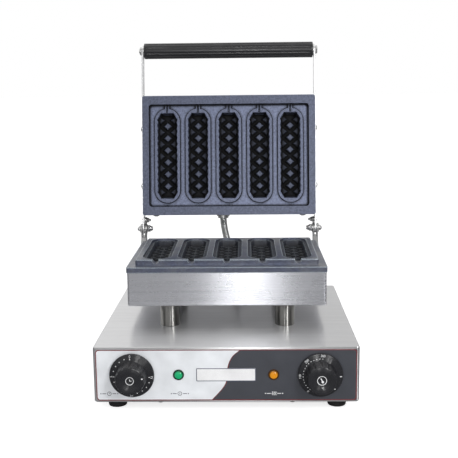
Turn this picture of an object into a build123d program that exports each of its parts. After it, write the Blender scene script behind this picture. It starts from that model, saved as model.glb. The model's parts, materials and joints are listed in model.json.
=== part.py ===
from build123d import *
import math
import os

# Countertop waffle stick maker with five stick moulds, shown with its lid open.
# Millimetres. +X to the user's right, +Y away from the user, +Z up. The origin is
# the centre of the overall box on the surface that the feet stand on.
os.makedirs("parts", exist_ok=True)

# Driving sizes of the whole machine
base_width = 300.0
base_height = 65.0
foot_height = 13.0
post_height = 27.5
casing_height = 41.0
plate_width = 240.0
plate_depth = 166.0
casing_setback = 71.0
rear_shelf = 44.6
arm_length = 249.4
pivot_rise = 14.6
pivot_setback = 18.2
open_lean = 10.2
stick_count = 5

# Sheet metal, gaps and cuts that several pieces share
sheet = 1.2
casing_sheet = 1.0
corner_radius = 3.0
fold_radius = 1.8
overrun = 1.0
running_gap = 0.06
clear_gap = 0.3
screw_gap = 0.25

# Heating plates
lip_thickness = 6.7
lip_overhang = 0.8
rim_gap = 0.4
platform_height = 7.0
face_gap = 0.5
recess_side_margin = 8.7
recess_end_margin = 11.75
recess_radius = 4.0
side_clearance = 0.75
rear_clearance = 3.6
boss_height = 2.2
boss_width = 34.6
boss_side_margin = 8.2
boss_end_margin = 5.75
boss_gap = 0.4
neck_width = 5.4
neck_groove_radius = 1.5
notch_width = 7.7
notch_depth = 5.0
edge_break = 0.8

# Moulds: an eight-sided pit with toothed sides and a floor of diamond studs
pit_width = 29.0
pit_depth = 13.0
pit_corner_x = 5.5
pit_corner_y = 9.3
pit_wall_slope = 3.0
pit_end_wall = 5.5
lower_pit_floor = 6.0
upper_pit_floor = 4.9
diamond_rows = 6
diamond_spread = 20.4
diamond_height = 4.6
diamond_top = 7.6
diamond_groove = 1.1
tooth_depth = 0.9
teeth_per_diamond = 2

# Casting behind the plates, heater and insulation
block_side_margin = 7.0
block_end_margin = 8.0
screw_boss_radius = 5.5
screw_boss_inset = 9.0
heater_radius = 3.3
heater_side_inset = 25.0
heater_end_inset = 29.0
heater_inner = 32.0
heater_tail = 12.0
heater_bend = 15.0
terminal_radius = 1.8
terminal_length = 6.0
clamp_side_margin = 7.0
clamp_end_margin = 6.0
clamp_thickness = 1.5
clamp_stud_radius = 2.5
stud_tail = 1.0
clamp_nut_radius = 4.6
plate_screw_length = 12.0
plate_screw_head = 5.1
clamp_nut_height = 4.0
wool_side_margin = 5.0
wool_end_margin = 4.0
wool_thickness = 9.0
lid_space = 4.4
wool_hole = 8.0

# Posts between the base and the lower casing, with the threaded tubes inside
post_radius = 12.0
post_bore = 7.4
post_side_inset = 34.0
post_inset = 19.0
tube_radius = 7.0
tube_bore = 4.6
tube_nut_radius = 11.0
tube_nut_height = 5.0
tube_end = 2.0

# Hinge: forked brackets, flat strip arms, pivot and stop bolts
fork_width = 6.8
fork_slot = 3.2
fork_floor = 10.7
fork_radius = 7.0
fork_neck = 12.0
fork_root = 18.0
bracket_toe = 2.4
bracket_plate = 2.5
bracket_plate_width = 26.0
bracket_plate_drop = 30.0
bracket_screw_radius = 2.0
bracket_head_radius = 3.9
bracket_head_height = 2.8
bracket_screw_inset = 5.0
bracket_screw_pitch = 14.0
bracket_screw_length = 7.7
arm_screw_places = 2
arm_screw_first = 60.0
arm_screw_pitch = 80.0
arm_screw_length = 12.0
arm_hole_depth = 10.8
arm_thickness = 2.2
arm_width = 14.0
pivot_radius = 3.0
pivot_head_radius = 5.5
pivot_head_height = 4.2
washer_radius = 6.2
washer_thickness = 1.4
cap_nut_radius = 5.5
cap_nut_hex = 5.0
thread_tail = 2.0
stop_radius = 2.0
stop_reach = 11.8
stop_head = 1.6
stop_head_radius = 3.6
stop_nut_radius = 3.9
stop_nut_height = 3.2
stop_tail = 3.0
stop_spacer = 2.6
stop_spacer_radius = 3.0
stop_lug_rise = 15.0
stop_lug_depth = 3.6

# Handle
grip_radius = 10.8
grip_flutes = 10
flute_radius = 1.5
rod_radius = 4.0
rod_head_radius = 6.6
rod_head_height = 4.0
grip_washer_radius = 8.0
grip_washer_thickness = 1.2

# Control panel
overlay_side_margin = 3.0
overlay_drop = 2.8
overlay_rise = 2.2
overlay_thickness = 0.5
overlay_radius = 4.0
overlay_hole_radius = 9.0
control_rise = 0.6
knob_inset = 44.0
name_plate_width = 67.0
name_plate_height = 15.2
name_plate_thickness = 0.6
name_plate_radius = 1.0
knob_radius = 25.3
knob_depth = 21.0
knob_gap = 1.0
skirt_edge = 3.0
skirt_slope = 3.4
body_root_radius = 17.6
body_top_radius = 14.6
dish_depth = 2.0
dish_radius = 11.0
body_round = 2.4
grip_scallops = 12
scallop_radius = 2.2
scallop_bite = 0.9
hub_radius = 5.5
knob_wall = 2.2
shaft_radius = 3.0
shaft_flat = 1.0
shaft_tail = 6.0
bush_radius = 5.0
bush_reach = 7.0
bush_nut_radius = 8.0
bush_nut_height = 2.6
control_plate = 1.8
timer_plate = 46.0
timer_radius = 21.0
timer_depth = 30.0
thermostat_width = 42.0
thermostat_height = 34.0
thermostat_depth = 26.0
thermostat_cup_radius = 9.0
thermostat_cup_depth = 5.0
lens_radius = 6.2
lens_rim = 1.2
lens_dome = 2.6
lamp_body_radius = 5.0
lamp_body_length = 26.0
lamp_nut_radius = 7.5
lamp_nut_height = 2.5

# Feet, floor plate, rear fittings and wiring parts
foot_inset = 22.5
foot_front_inset = 27.0
foot_top_radius = 12.5
foot_bottom_radius = 10.5
foot_recess_radius = 5.0
foot_recess_depth = 7.0
foot_screw_radius = 2.0
foot_head_radius = 3.9
foot_head_height = 2.8
foot_screw_length = 12.0
foot_nut_radius = 3.9
foot_nut_height = 3.2
floor_margin = 1.0
flange_width = 12.0
floor_screw_inset = 7.0
vent_count = 9
vent_pitch = 9.0
vent_width = 3.2
vent_length = 40.0
vent_y = 60.0
gland_inset = 55.0
gland_rise = 24.0
gland_bore = 4.0
gland_flange_radius = 11.0
gland_neck_radius = 8.0
gland_flange = 4.0
gland_inside = 8.0
gland_nose = 10.0
gland_thread_end = 1.0
block_spacing = 49.0
block_setback = 32.0
block_radius = 1.0
terminal_width = 54.0
terminal_depth = 20.0
terminal_height = 17.0
terminal_ways = 4
terminal_hole = 2.2
terminal_groove = 2.0
earth_spacing = 35.0
earth_radius = 3.0
earth_nut_radius = 5.8
earth_nut_height = 4.0
earth_reach = 9.0

# Flexible metal conduit from the base to the lid, and its two glands
conduit_radius = 4.9
conduit_valley = 4.2
conduit_bore = 3.2
conduit_gland_radius = 7.5
conduit_gland_height = 5.0
conduit_gland_flange = 2.0
conduit_gland_tail = 6.0
conduit_tail_radius = 5.6
conduit_flange_radius = 9.0
conduit_nut_radius = 9.5
conduit_nut_height = 3.0
conduit_pull = 40.0
conduit_lid_x = -9.0
conduit_base_x = 13.0
conduit_lid_rise = 17.0
conduit_ribs = 30
conduit_rear_inset = 18.0

# Thermostat bulb under the lower plate and its capillary
capillary_radius = 0.9
bulb_front_gap = 10.0
bulb_rear_gap = 9.0
capillary_depth = 30.0
capillary_bend = 8.0
capillary_root = 1.0
capillary_lead = 30.0

# Rear wall screws of the lid casing
cover_screw_inset = 16.2
cover_screw_radius = 4.2
cover_screw_height = 2.4
cover_screw_shank = 2.0
cover_screw_length = 11.0
cover_screw_rise = 2.5

# Share of a size at the middle of a shallow curve, and of the lamps' place beside a knob
crown_share = 0.84
lamp_share = 0.505

# Sizes that follow from the plates
casing_width = plate_width - 2 * lip_overhang
casing_depth = plate_depth - 2 * lip_overhang
recess_width = plate_width - 2 * recess_side_margin
recess_length = plate_depth - 2 * recess_end_margin
boss_length = recess_length - 2 * boss_end_margin
stick_pitch = (recess_width - 2 * boss_side_margin - boss_width) / (stick_count - 1)
diamond_pitch = (boss_length - 2 * pit_end_wall - 2 * pit_corner_y) / diamond_rows
block_width = plate_width - 2 * block_side_margin
block_length = plate_depth - 2 * block_end_margin
block_drop = pit_depth - platform_height + lower_pit_floor - lip_thickness
lid_pit_depth = platform_height + face_gap - boss_height + pit_depth
lid_block_drop = lid_pit_depth + upper_pit_floor - lip_thickness
lid_height = lid_block_drop + 2 * heater_radius + clamp_thickness + wool_thickness + lid_space
screw_boss_x = block_width / 2 - screw_boss_inset
screw_boss_y = block_length / 2 - screw_boss_inset
heater_half_width = block_width / 2 - heater_side_inset
heater_half_length = block_length / 2 - heater_end_inset
clamp_width = 2 * heater_half_width + 2 * clamp_side_margin
clamp_length = 2 * heater_half_length + 2 * clamp_end_margin
clamp_stud_x = (heater_inner + heater_half_width) / 2
wool_width = block_width - 2 * wool_side_margin
wool_length = block_length - 2 * wool_end_margin
cover_screw_x = casing_width / 2 - cover_screw_inset
post_x = screw_boss_x - post_side_inset
grip_length = casing_width - 2 * grip_washer_thickness

# Sizes that follow from the base
base_depth = casing_setback + casing_depth + rear_shelf
overlay_width = base_width - 2 * overlay_side_margin
overlay_height = base_height - overlay_drop - overlay_rise
control_drop = overlay_drop + overlay_height / 2 - control_rise
knob_x = base_width / 2 - knob_inset
lamp_x = knob_x * lamp_share
gland_x = base_width / 2 - gland_inset
earth_x = gland_x - earth_spacing
block_x = gland_x - block_spacing
conduit_base_setback = base_depth - conduit_rear_inset

# Places that follow from the sizes above
open_angle = 90.0 + open_lean
swing = math.radians(open_angle)
base_bottom = foot_height + sheet
base_top = base_bottom + base_height - sheet
casing_bottom = base_top + post_height
rim_z = casing_bottom + casing_height + lip_thickness
pivot_z = rim_z + pivot_rise
plate_setback = casing_setback - lip_overhang
pivot_from_front = plate_setback + plate_depth + pivot_setback
front_reach = overlay_thickness + knob_gap + knob_depth
lid_back_y = -(pivot_setback + plate_depth - lip_overhang)
lid_back_z = rim_gap + lip_thickness + lid_height - pivot_rise
rear_reach = pivot_from_front + lid_back_y * math.cos(swing) + lid_back_z * math.sin(swing)
front_y = (front_reach - rear_reach) / 2
pivot_y = front_y + pivot_from_front
plate_mid = -(pivot_setback + plate_depth / 2)
arm_x = casing_width / 2 + arm_thickness / 2
control_z = base_top - control_drop
mid_y = front_y + base_depth / 2

# Frames: hinge is the closed machine seen from the pivot, lid is the same, turned open
hinge = Plane((0, pivot_y, pivot_z))
lid = Plane(
    (0, pivot_y, pivot_z),
    x_dir=(1, 0, 0),
    z_dir=(0, math.sin(swing), math.cos(swing)),
)


def point(frame, x, y, z):
    """A point given in a frame's own directions."""
    return frame.from_local_coords(Vector(x, y, z))


def facing(frame, x, y, z, direction):
    """A plane at a point of a frame, facing along one of the frame's directions."""
    return Plane(point(frame, x, y, z), x_dir=frame.x_dir, z_dir=direction)


def sideways(frame, x):
    """A plane across a frame at x: its own x is the frame's y, its own y the frame's z."""
    return Plane(point(frame, x, 0, 0), x_dir=frame.y_dir, z_dir=frame.x_dir)


def front_plane(y):
    """An upright plane that faces the user."""
    return Plane.XZ.offset(-y)


def save(builder, name):
    """Labels a finished piece and writes it."""
    builder.part.label = name
    export_step(builder.part, f"parts/{name}.step")


def grouped(unit, places):
    """The same piece at several places."""
    with BuildPart() as group:
        with Locations(*places):
            add(unit.part)
    return group


def corners(x, y):
    """Four corner points."""
    return [(x, y), (-x, y), (-x, -y), (x, -y)]


def hexagon_nut(radius, height, bore):
    """A hexagon nut that stands on its own origin."""
    with BuildPart() as nut:
        with BuildSketch():
            RegularPolygon(radius, 6)
            Circle(bore + running_gap, mode=Mode.SUBTRACT)
        extrude(amount=height)
    return nut


def crown(radius, base, rise):
    """The arc of a ball from the rim of a round head to the middle of its top."""
    ball = (radius**2 + rise**2) / (2 * rise)
    half = math.asin(radius / ball) / 2
    middle = (ball * math.sin(half), base + rise - ball + ball * math.cos(half))
    return ThreePointArc((radius, base), middle, (0, base + rise))


def cap_nut(radius, height, bore):
    """A hexagon nut closed by a dome, standing on its own origin."""
    root = radius * crown_share
    with BuildPart() as nut:
        with BuildSketch():
            RegularPolygon(radius, 6)
        extrude(amount=height)
        with BuildSketch(Plane.XZ):
            with BuildLine():
                Polyline((0, height + root), (0, 0), (root, 0), (root, height))
                crown(root, height, root)
            make_face()
        revolve(axis=Axis.Z)
        with BuildSketch():
            Circle(bore + running_gap)
        extrude(amount=height + root / 2, mode=Mode.SUBTRACT)
    return nut


def bar(radius, height):
    """A plain round bar that stands on its own origin."""
    with BuildPart() as solid:
        with BuildSketch():
            Circle(radius)
        extrude(amount=height)
    return solid


def ring(outer, inner, height):
    """A flat washer or a short tube that stands on its own origin."""
    with BuildPart() as washer:
        with BuildSketch():
            Circle(outer)
            Circle(inner, mode=Mode.SUBTRACT)
        extrude(amount=height)
    return washer


def pan_screw(head_radius, head_height, shank_radius, length):
    """A round-headed screw: the head above its own origin, the shank below it."""
    with BuildPart() as screw:
        with BuildSketch(Plane.XZ) as outline:
            with BuildLine():
                Polyline(
                    (0, -length),
                    (shank_radius, -length),
                    (shank_radius, 0),
                    (head_radius, 0),
                    (head_radius, head_height / 2),
                )
                crown(head_radius, head_height / 2, head_height / 2)
                Line((0, head_height), (0, -length))
            make_face()
        revolve(axis=Axis.Z)
    return screw


# Base: folded cover, floor plate, feet
with BuildPart() as base_cover:
    with BuildSketch(Plane.XY.offset(base_bottom)):
        with Locations((0, mid_y)):
            RectangleRounded(base_width, base_depth, corner_radius)
    extrude(amount=base_top - base_bottom)
    fillet(base_cover.edges().group_by(Axis.Z)[-1], fold_radius)
    offset(amount=-sheet, openings=base_cover.faces().sort_by(Axis.Z)[0])
    with BuildSketch(Plane.XY.offset(base_bottom)):
        with Locations((0, mid_y)):
            RectangleRounded(base_width, base_depth, corner_radius)
            Rectangle(
                base_width - 2 * flange_width, base_depth - 2 * flange_width, mode=Mode.SUBTRACT
            )
    extrude(amount=sheet)
    # Holes for the posts and the conduit in the top
    with BuildSketch(Plane.XY.offset(base_top + overrun)):
        with Locations((0, front_y + casing_setback + casing_depth / 2)):
            with Locations(*corners(post_x, casing_depth / 2 - post_inset)):
                Circle(tube_radius + screw_gap)
        with Locations((conduit_base_x, front_y + conduit_base_setback)):
            Circle(conduit_tail_radius + screw_gap)
    extrude(amount=-sheet - 2 * overrun, mode=Mode.SUBTRACT)
    # Holes for the controls and lamps in the front
    with BuildSketch(front_plane(front_y - overrun)):
        with Locations((-knob_x, control_z), (knob_x, control_z)):
            Circle(bush_radius + screw_gap)
        with Locations((-lamp_x, control_z), (lamp_x, control_z)):
            Circle(lamp_body_radius + screw_gap)
    extrude(amount=-sheet - 2 * overrun, mode=Mode.SUBTRACT)
    # Cable entry, earth stud and cooling slots in the rear
    with BuildSketch(front_plane(front_y + base_depth - sheet - overrun)):
        with Locations((gland_x, base_bottom + gland_rise)):
            Circle(gland_neck_radius + screw_gap)
        with Locations((earth_x, base_bottom + gland_rise)):
            Circle(earth_radius + screw_gap)
        with Locations((-earth_x, base_bottom + base_height / 2)):
            with GridLocations(vent_pitch, 0, vent_count, 1):
                SlotOverall(vent_length / 2, vent_width, rotation=90)
    extrude(amount=-sheet - 2 * overrun, mode=Mode.SUBTRACT)
    # Screw holes in the turned-in flange
    with BuildSketch(Plane.XY.offset(base_bottom + sheet + overrun)):
        with Locations((0, mid_y)):
            with Locations(
                *corners(base_width / 2 - floor_screw_inset, base_depth / 4),
                *corners(base_width / 4, base_depth / 2 - floor_screw_inset),
            ):
                Circle(foot_screw_radius + running_gap)
    extrude(amount=-sheet - 2 * overrun, mode=Mode.SUBTRACT)
save(base_cover, "base_cover")

feet_x = base_width / 2 - foot_inset
feet_y = base_depth / 2 - foot_front_inset
feet_points = [Vector(x, mid_y + y) for x, y in corners(feet_x, feet_y)]
floor_screw_points = [
    Vector(x, mid_y + y)
    for x, y in corners(base_width / 2 - floor_screw_inset, base_depth / 4)
    + corners(base_width / 4, base_depth / 2 - floor_screw_inset)
]

with BuildPart() as base_floor:
    with BuildSketch(Plane.XY.offset(foot_height)):
        with Locations((0, mid_y)):
            RectangleRounded(
                base_width - 2 * floor_margin, base_depth - 2 * floor_margin, corner_radius
            )
            with Locations((0, vent_y), (0, -vent_y)):
                with GridLocations(vent_pitch, 0, vent_count, 1):
                    SlotOverall(vent_length, vent_width, rotation=90, mode=Mode.SUBTRACT)
        with Locations(*feet_points, *floor_screw_points):
            Circle(foot_screw_radius + running_gap, mode=Mode.SUBTRACT)
    extrude(amount=sheet)
save(base_floor, "base_floor")

with BuildPart() as rubber_foot:
    with BuildSketch(Plane.XZ):
        with BuildLine():
            Polyline(
                (foot_recess_radius, 0),
                (foot_bottom_radius - edge_break, 0),
                (foot_bottom_radius, edge_break),
                (foot_top_radius, foot_height),
                (foot_screw_radius + running_gap, foot_height),
                (foot_screw_radius + running_gap, foot_recess_depth),
                (foot_recess_radius, foot_recess_depth),
                close=True,
            )
        make_face()
    revolve(axis=Axis.Z)
save(grouped(rubber_foot, feet_points), "rubber_feet")

foot_screw = pan_screw(foot_head_radius, foot_head_height, foot_screw_radius, foot_screw_length)
save(
    grouped(
        foot_screw,
        [Plane((p.X, p.Y, foot_recess_depth), z_dir=(0, 0, -1)) for p in feet_points],
    ),
    "foot_screws",
)
foot_nut = hexagon_nut(foot_nut_radius, foot_nut_height, foot_screw_radius)
save(
    grouped(foot_nut, [(p.X, p.Y, foot_height + sheet) for p in feet_points]),
    "foot_nuts",
)
floor_screw = pan_screw(
    foot_head_radius, foot_head_height, foot_screw_radius, 2 * sheet + foot_nut_height
)
save(
    grouped(
        floor_screw,
        [Plane((p.X, p.Y, foot_height), z_dir=(0, 0, -1)) for p in floor_screw_points],
    ),
    "floor_screws",
)

# Posts, threaded tubes and their nuts
post_points = [
    Vector(x, front_y + casing_setback + casing_depth / 2 + y)
    for x, y in corners(post_x, casing_depth / 2 - post_inset)
]
support_post = ring(post_radius, post_bore, post_height)
save(grouped(support_post, [(p.X, p.Y, base_top) for p in post_points]), "support_posts")
tube_low = base_top - sheet - tube_nut_height - tube_end
tube_high = casing_bottom + casing_sheet + tube_nut_height + tube_end
tie_tube = ring(tube_radius, tube_bore, tube_high - tube_low)
save(grouped(tie_tube, [(p.X, p.Y, tube_low) for p in post_points]), "post_tie_tubes")
tube_nut = hexagon_nut(tube_nut_radius, tube_nut_height, tube_radius)
nut_levels = [base_top - sheet - tube_nut_height, casing_bottom + casing_sheet]
save(
    grouped(tube_nut, [(p.X, p.Y, z) for p in post_points for z in nut_levels]),
    "post_nuts",
)


# Mould shapes, made once with the mouth at z = 0 and the floor below
def pit_outline(half_width, half_length, corner_x, corner_y):
    """An eight-sided outline whose long sides are toothed."""
    teeth = diamond_rows * teeth_per_diamond
    side = diamond_rows * diamond_pitch / 2
    step = 2 * side / (2 * teeth)
    right = [
        (half_width - (tooth_depth if i % 2 else 0), -side + i * step)
        for i in range(2 * teeth + 1)
    ]
    end = [(half_width - corner_x, half_length)]
    top = right + end
    left = [(-x, -y) for x, y in top]
    return top + [(-x, y) for x, y in end] + left + [(-x, y) for x, y in left[-1:]]


pit_half_length = diamond_rows * diamond_pitch / 2 + pit_corner_y
floor_corner_y = pit_corner_y - pit_wall_slope
floor_corner_x = pit_corner_x * floor_corner_y / pit_corner_y
with BuildPart() as pit:
    with BuildSketch():
        with BuildLine():
            Polyline(
                *pit_outline(pit_width / 2, pit_half_length, pit_corner_x, pit_corner_y),
                close=True,
            )
        make_face()
    with BuildSketch(Plane.XY.offset(-pit_depth)):
        with BuildLine():
            Polyline(
                *pit_outline(
                    pit_width / 2 - pit_wall_slope,
                    pit_half_length - pit_wall_slope,
                    floor_corner_x,
                    floor_corner_y,
                ),
                close=True,
            )
        make_face()
    loft(ruled=True)


def rhombus(width, length):
    """The corner points of a diamond."""
    return [(width / 2, 0), (0, length / 2), (-width / 2, 0), (0, -length / 2)]


with BuildPart() as diamond:
    with BuildSketch(Plane.XY.offset(-pit_depth - overrun)):
        Polygon(*rhombus(diamond_spread - diamond_groove, diamond_pitch - diamond_groove))
    with BuildSketch(Plane.XY.offset(-pit_depth + diamond_height)):
        Polygon(*rhombus(diamond_top, diamond_top))
    loft(ruled=True)

middle_rows = [(0, (i - (diamond_rows - 1) / 2) * diamond_pitch) for i in range(diamond_rows)]
side_rows = [
    (s * diamond_spread / 2, (i - diamond_rows / 2) * diamond_pitch)
    for s in (-1, 1)
    for i in range(diamond_rows + 1)
]
with BuildPart() as mould:
    add(pit.part)
    with Locations(*middle_rows, *side_rows):
        add(diamond.part, mode=Mode.SUBTRACT)

stick_points = [((i - (stick_count - 1) / 2) * stick_pitch, 0) for i in range(stick_count)]

# Lower heating plate
lower_face = facing(hinge, 0, plate_mid, -pivot_rise, hinge.z_dir)
lower_back = facing(hinge, 0, plate_mid, -pivot_rise - lip_thickness, -hinge.z_dir)
upper_face = facing(lid, 0, plate_mid, rim_gap - pivot_rise, -lid.z_dir)
upper_back = facing(lid, 0, plate_mid, rim_gap - pivot_rise + lip_thickness, lid.z_dir)
platform_width = recess_width - 2 * side_clearance
platform_front = -recess_length / 2 + side_clearance
platform_rear = recess_length / 2 - rear_clearance
platform_length = platform_rear - platform_front

lid_wall_y = -pivot_setback - lip_overhang
arm_screw_points = [
    (-arm_screw_first - i * arm_screw_pitch, 0) for i in range(arm_screw_places)
]


def plate_bosses(back, depth, height):
    """Screw bosses that reach the casing, and the studs of the heater clamp."""
    with BuildPart() as bosses:
        with BuildSketch(back.offset(depth)):
            with Locations(*corners(screw_boss_x, screw_boss_y)):
                Circle(screw_boss_radius)
        extrude(amount=height - casing_sheet - depth)
        with BuildSketch(back.offset(depth)):
            with Locations((clamp_stud_x, 0), (-clamp_stud_x, 0)):
                Circle(clamp_stud_radius)
        extrude(amount=2 * heater_radius + clamp_thickness + clamp_nut_height + stud_tail)
    return bosses


def plate_screw_holes(back, height):
    """The tapped holes in the screw bosses."""
    with BuildPart() as holes:
        with BuildSketch(back.offset(height)):
            with Locations(*corners(screw_boss_x, screw_boss_y)):
                Circle(clamp_stud_radius + running_gap)
        extrude(amount=-plate_screw_length - overrun)
    return holes


with BuildPart() as lower_plate:
    with BuildSketch(lower_face.offset(-lip_thickness)):
        RectangleRounded(plate_width, plate_depth, corner_radius)
    extrude(amount=lip_thickness)
    with BuildSketch(lower_face.offset(-lip_thickness)):
        RectangleRounded(block_width, block_length, corner_radius)
    extrude(amount=-block_drop)
    with BuildSketch(lower_face):
        with Locations((0, (platform_front + platform_rear) / 2)):
            RectangleRounded(platform_width, platform_length, recess_radius - side_clearance)
    extrude(amount=platform_height)
    chamfer(
        lower_plate.edges().group_by(Axis(lower_face.origin, lower_face.z_dir))[-1], edge_break
    )
    add(plate_bosses(lower_back, block_drop, casing_height).part)
    add(plate_screw_holes(lower_back, casing_height).part, mode=Mode.SUBTRACT)
    # Pockets that take the bosses of the upper plate
    with BuildSketch(lower_face.offset(platform_height + overrun)):
        with Locations(*stick_points):
            SlotOverall(
                boss_length + 2 * boss_gap, boss_width + 2 * boss_gap, rotation=90
            )
    extrude(amount=-overrun - boss_height, mode=Mode.SUBTRACT)
    # Stick notches from the front face into the moulds
    with BuildSketch(facing(lower_face, 0, platform_front - overrun, 0, lower_face.y_dir)):
        with Locations(
            *[(x, -platform_height + notch_depth - notch_width / 2) for x, y in stick_points]
        ):
            Circle(notch_width / 2)
        with Locations(*[(x, -platform_height) for x, y in stick_points]):
            Rectangle(notch_width, 2 * notch_depth - notch_width)
    extrude(
        amount=pit_corner_y - pit_half_length - platform_front + overrun, mode=Mode.SUBTRACT
    )
    with Locations(*[lower_face.offset(platform_height) * Pos(x, y) for x, y in stick_points]):
        add(mould.part, mode=Mode.SUBTRACT)
save(lower_plate, "lower_plate")

# Upper heating plate, the counterpart
with BuildPart() as upper_plate:
    with BuildSketch(upper_face.offset(-lip_thickness)):
        RectangleRounded(plate_width, plate_depth, corner_radius)
    extrude(amount=lip_thickness)
    with BuildSketch(upper_back):
        RectangleRounded(block_width, block_length, corner_radius)
    extrude(amount=lid_block_drop)
    add(plate_bosses(upper_back, lid_block_drop, lid_height).part)
    add(plate_screw_holes(upper_back, lid_height).part, mode=Mode.SUBTRACT)
    # Tapped holes for the screws through the rear wall and through the arms
    with BuildSketch(facing(lid, 0, lid_wall_y, cover_screw_rise, lid.y_dir)):
        with Locations((-cover_screw_x, 0), (cover_screw_x, 0)):
            Circle(cover_screw_shank + running_gap)
    extrude(amount=-cover_screw_length - overrun, mode=Mode.SUBTRACT)
    for side in (-1, 1):
        with BuildSketch(sideways(lid, side * casing_width / 2)):
            with Locations(*arm_screw_points):
                Circle(cover_screw_shank + running_gap)
        extrude(amount=-side * arm_hole_depth, mode=Mode.SUBTRACT)
    with BuildSketch(upper_face.offset(overrun)):
        RectangleRounded(recess_width, recess_length, recess_radius)
    extrude(amount=-overrun - platform_height - face_gap, mode=Mode.SUBTRACT)
    # Bosses round the moulds, with necks that reach the front wall of the recess
    with BuildSketch(upper_face.offset(-platform_height - face_gap)):
        with Locations(*stick_points):
            SlotOverall(boss_length, boss_width, rotation=90)
        with Locations(*[(x, recess_length / 4) for x, y in stick_points]):
            Rectangle(neck_width, recess_length / 2)
    extrude(amount=boss_height)
    with BuildSketch(facing(upper_face, 0, recess_length / 2, 0, -upper_face.y_dir)):
        with Locations(
            *[(x, boss_height - platform_height - face_gap) for x, y in stick_points]
        ):
            Circle(neck_groove_radius)
    extrude(amount=recess_length / 2 - pit_half_length + pit_corner_y, mode=Mode.SUBTRACT)
    with Locations(
        *[
            upper_face.offset(boss_height - platform_height - face_gap) * Pos(x, y)
            for x, y in stick_points
        ]
    ):
        add(mould.part, mode=Mode.SUBTRACT)
save(upper_plate, "upper_plate")


# What lies behind each plate, made in that plate's back frame
def heater_on(back, depth):
    """A bent tubular heater that lies on the back of a plate, with its terminals."""
    middle = back.offset(depth + heater_radius)
    route = [
        (heater_tail, heater_half_length),
        (heater_half_width, heater_half_length),
        (heater_half_width, -heater_half_length),
        (heater_inner, -heater_half_length),
        (heater_inner, heater_half_length / 2),
        (-heater_inner, heater_half_length / 2),
        (-heater_inner, -heater_half_length),
        (-heater_half_width, -heater_half_length),
        (-heater_half_width, heater_half_length),
        (-heater_tail, heater_half_length),
    ]
    with BuildPart() as heater:
        with BuildLine(middle):
            FilletPolyline(*route, radius=heater_bend)
        start = point(middle, heater_tail, heater_half_length, 0)
        with BuildSketch(Plane(start, z_dir=middle.x_dir)):
            Circle(heater_radius)
        sweep()
        for side in (-1, 1):
            end = point(middle, side * heater_tail, heater_half_length, 0)
            with BuildSketch(Plane(end, z_dir=-side * middle.x_dir)):
                Circle(terminal_radius)
            extrude(amount=terminal_length)
    return heater


def clamp_on(back, depth):
    """The steel sheet that presses the heater against the plate."""
    with BuildPart() as clamp:
        with BuildSketch(back.offset(depth + 2 * heater_radius)):
            RectangleRounded(clamp_width, clamp_length, corner_radius)
            with Locations((clamp_stud_x, 0), (-clamp_stud_x, 0)):
                Circle(clamp_stud_radius + running_gap, mode=Mode.SUBTRACT)
            with Locations((0, heater_half_length)):
                Rectangle(2 * heater_inner, heater_bend, mode=Mode.SUBTRACT)
        extrude(amount=clamp_thickness)
    return clamp


def clamp_nuts_on(back, depth):
    """The nuts on the clamp's studs."""
    seat = back.offset(depth + 2 * heater_radius + clamp_thickness)
    nut = hexagon_nut(clamp_nut_radius, clamp_nut_height, clamp_stud_radius)
    return grouped(nut, [seat * Pos(x, 0) for x in (-clamp_stud_x, clamp_stud_x)])


def wool_on(back, depth, hole_points):
    """A board of mineral wool behind the clamp sheet."""
    with BuildPart() as wool:
        with BuildSketch(back.offset(depth + 2 * heater_radius + clamp_thickness)):
            RectangleRounded(wool_width, wool_length, corner_radius)
            with Locations(*corners(screw_boss_x, screw_boss_y)):
                Circle(screw_boss_radius + clear_gap, mode=Mode.SUBTRACT)
            with Locations(*hole_points):
                Circle(wool_hole, mode=Mode.SUBTRACT)
        extrude(amount=wool_thickness)
    return wool


def casing_on(back, height):
    """A folded sheet box, open towards the plate, with holes for the plate screws."""
    outward = Axis(back.origin, back.z_dir)
    with BuildPart() as casing:
        with BuildSketch(back):
            RectangleRounded(casing_width, casing_depth, corner_radius)
        extrude(amount=height)
        fillet(casing.edges().group_by(outward)[-1], fold_radius)
        offset(amount=-casing_sheet, openings=casing.faces().sort_by(outward)[0])
        with BuildSketch(back.offset(height + overrun)):
            with Locations(*corners(screw_boss_x, screw_boss_y)):
                Circle(clamp_stud_radius + running_gap)
        extrude(amount=-casing_sheet - 2 * overrun, mode=Mode.SUBTRACT)
    return casing


def plate_screws_on(back, height):
    """The screws that hold a casing on the bosses of its plate."""
    screw = pan_screw(
        plate_screw_head, foot_head_height, clamp_stud_radius, plate_screw_length
    )
    seat = back.offset(height)
    return grouped(screw, [seat * Pos(x, y) for x, y in corners(screw_boss_x, screw_boss_y)])


stud_points = [(clamp_stud_x, 0), (-clamp_stud_x, 0)]
post_offset = casing_depth / 2 - post_inset
save(heater_on(lower_back, block_drop), "lower_heater")
save(clamp_on(lower_back, block_drop), "lower_heater_clamp")
save(clamp_nuts_on(lower_back, block_drop), "lower_clamp_nuts")
save(wool_on(lower_back, block_drop, stud_points + [(0, -post_offset)]), "lower_insulation")
save(plate_screws_on(lower_back, casing_height), "lower_casing_screws")
save(heater_on(upper_back, lid_block_drop), "upper_heater")
save(clamp_on(upper_back, lid_block_drop), "upper_heater_clamp")
save(clamp_nuts_on(upper_back, lid_block_drop), "upper_clamp_nuts")
save(wool_on(upper_back, lid_block_drop, stud_points), "upper_insulation")
save(plate_screws_on(upper_back, lid_height), "upper_casing_screws")

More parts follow.
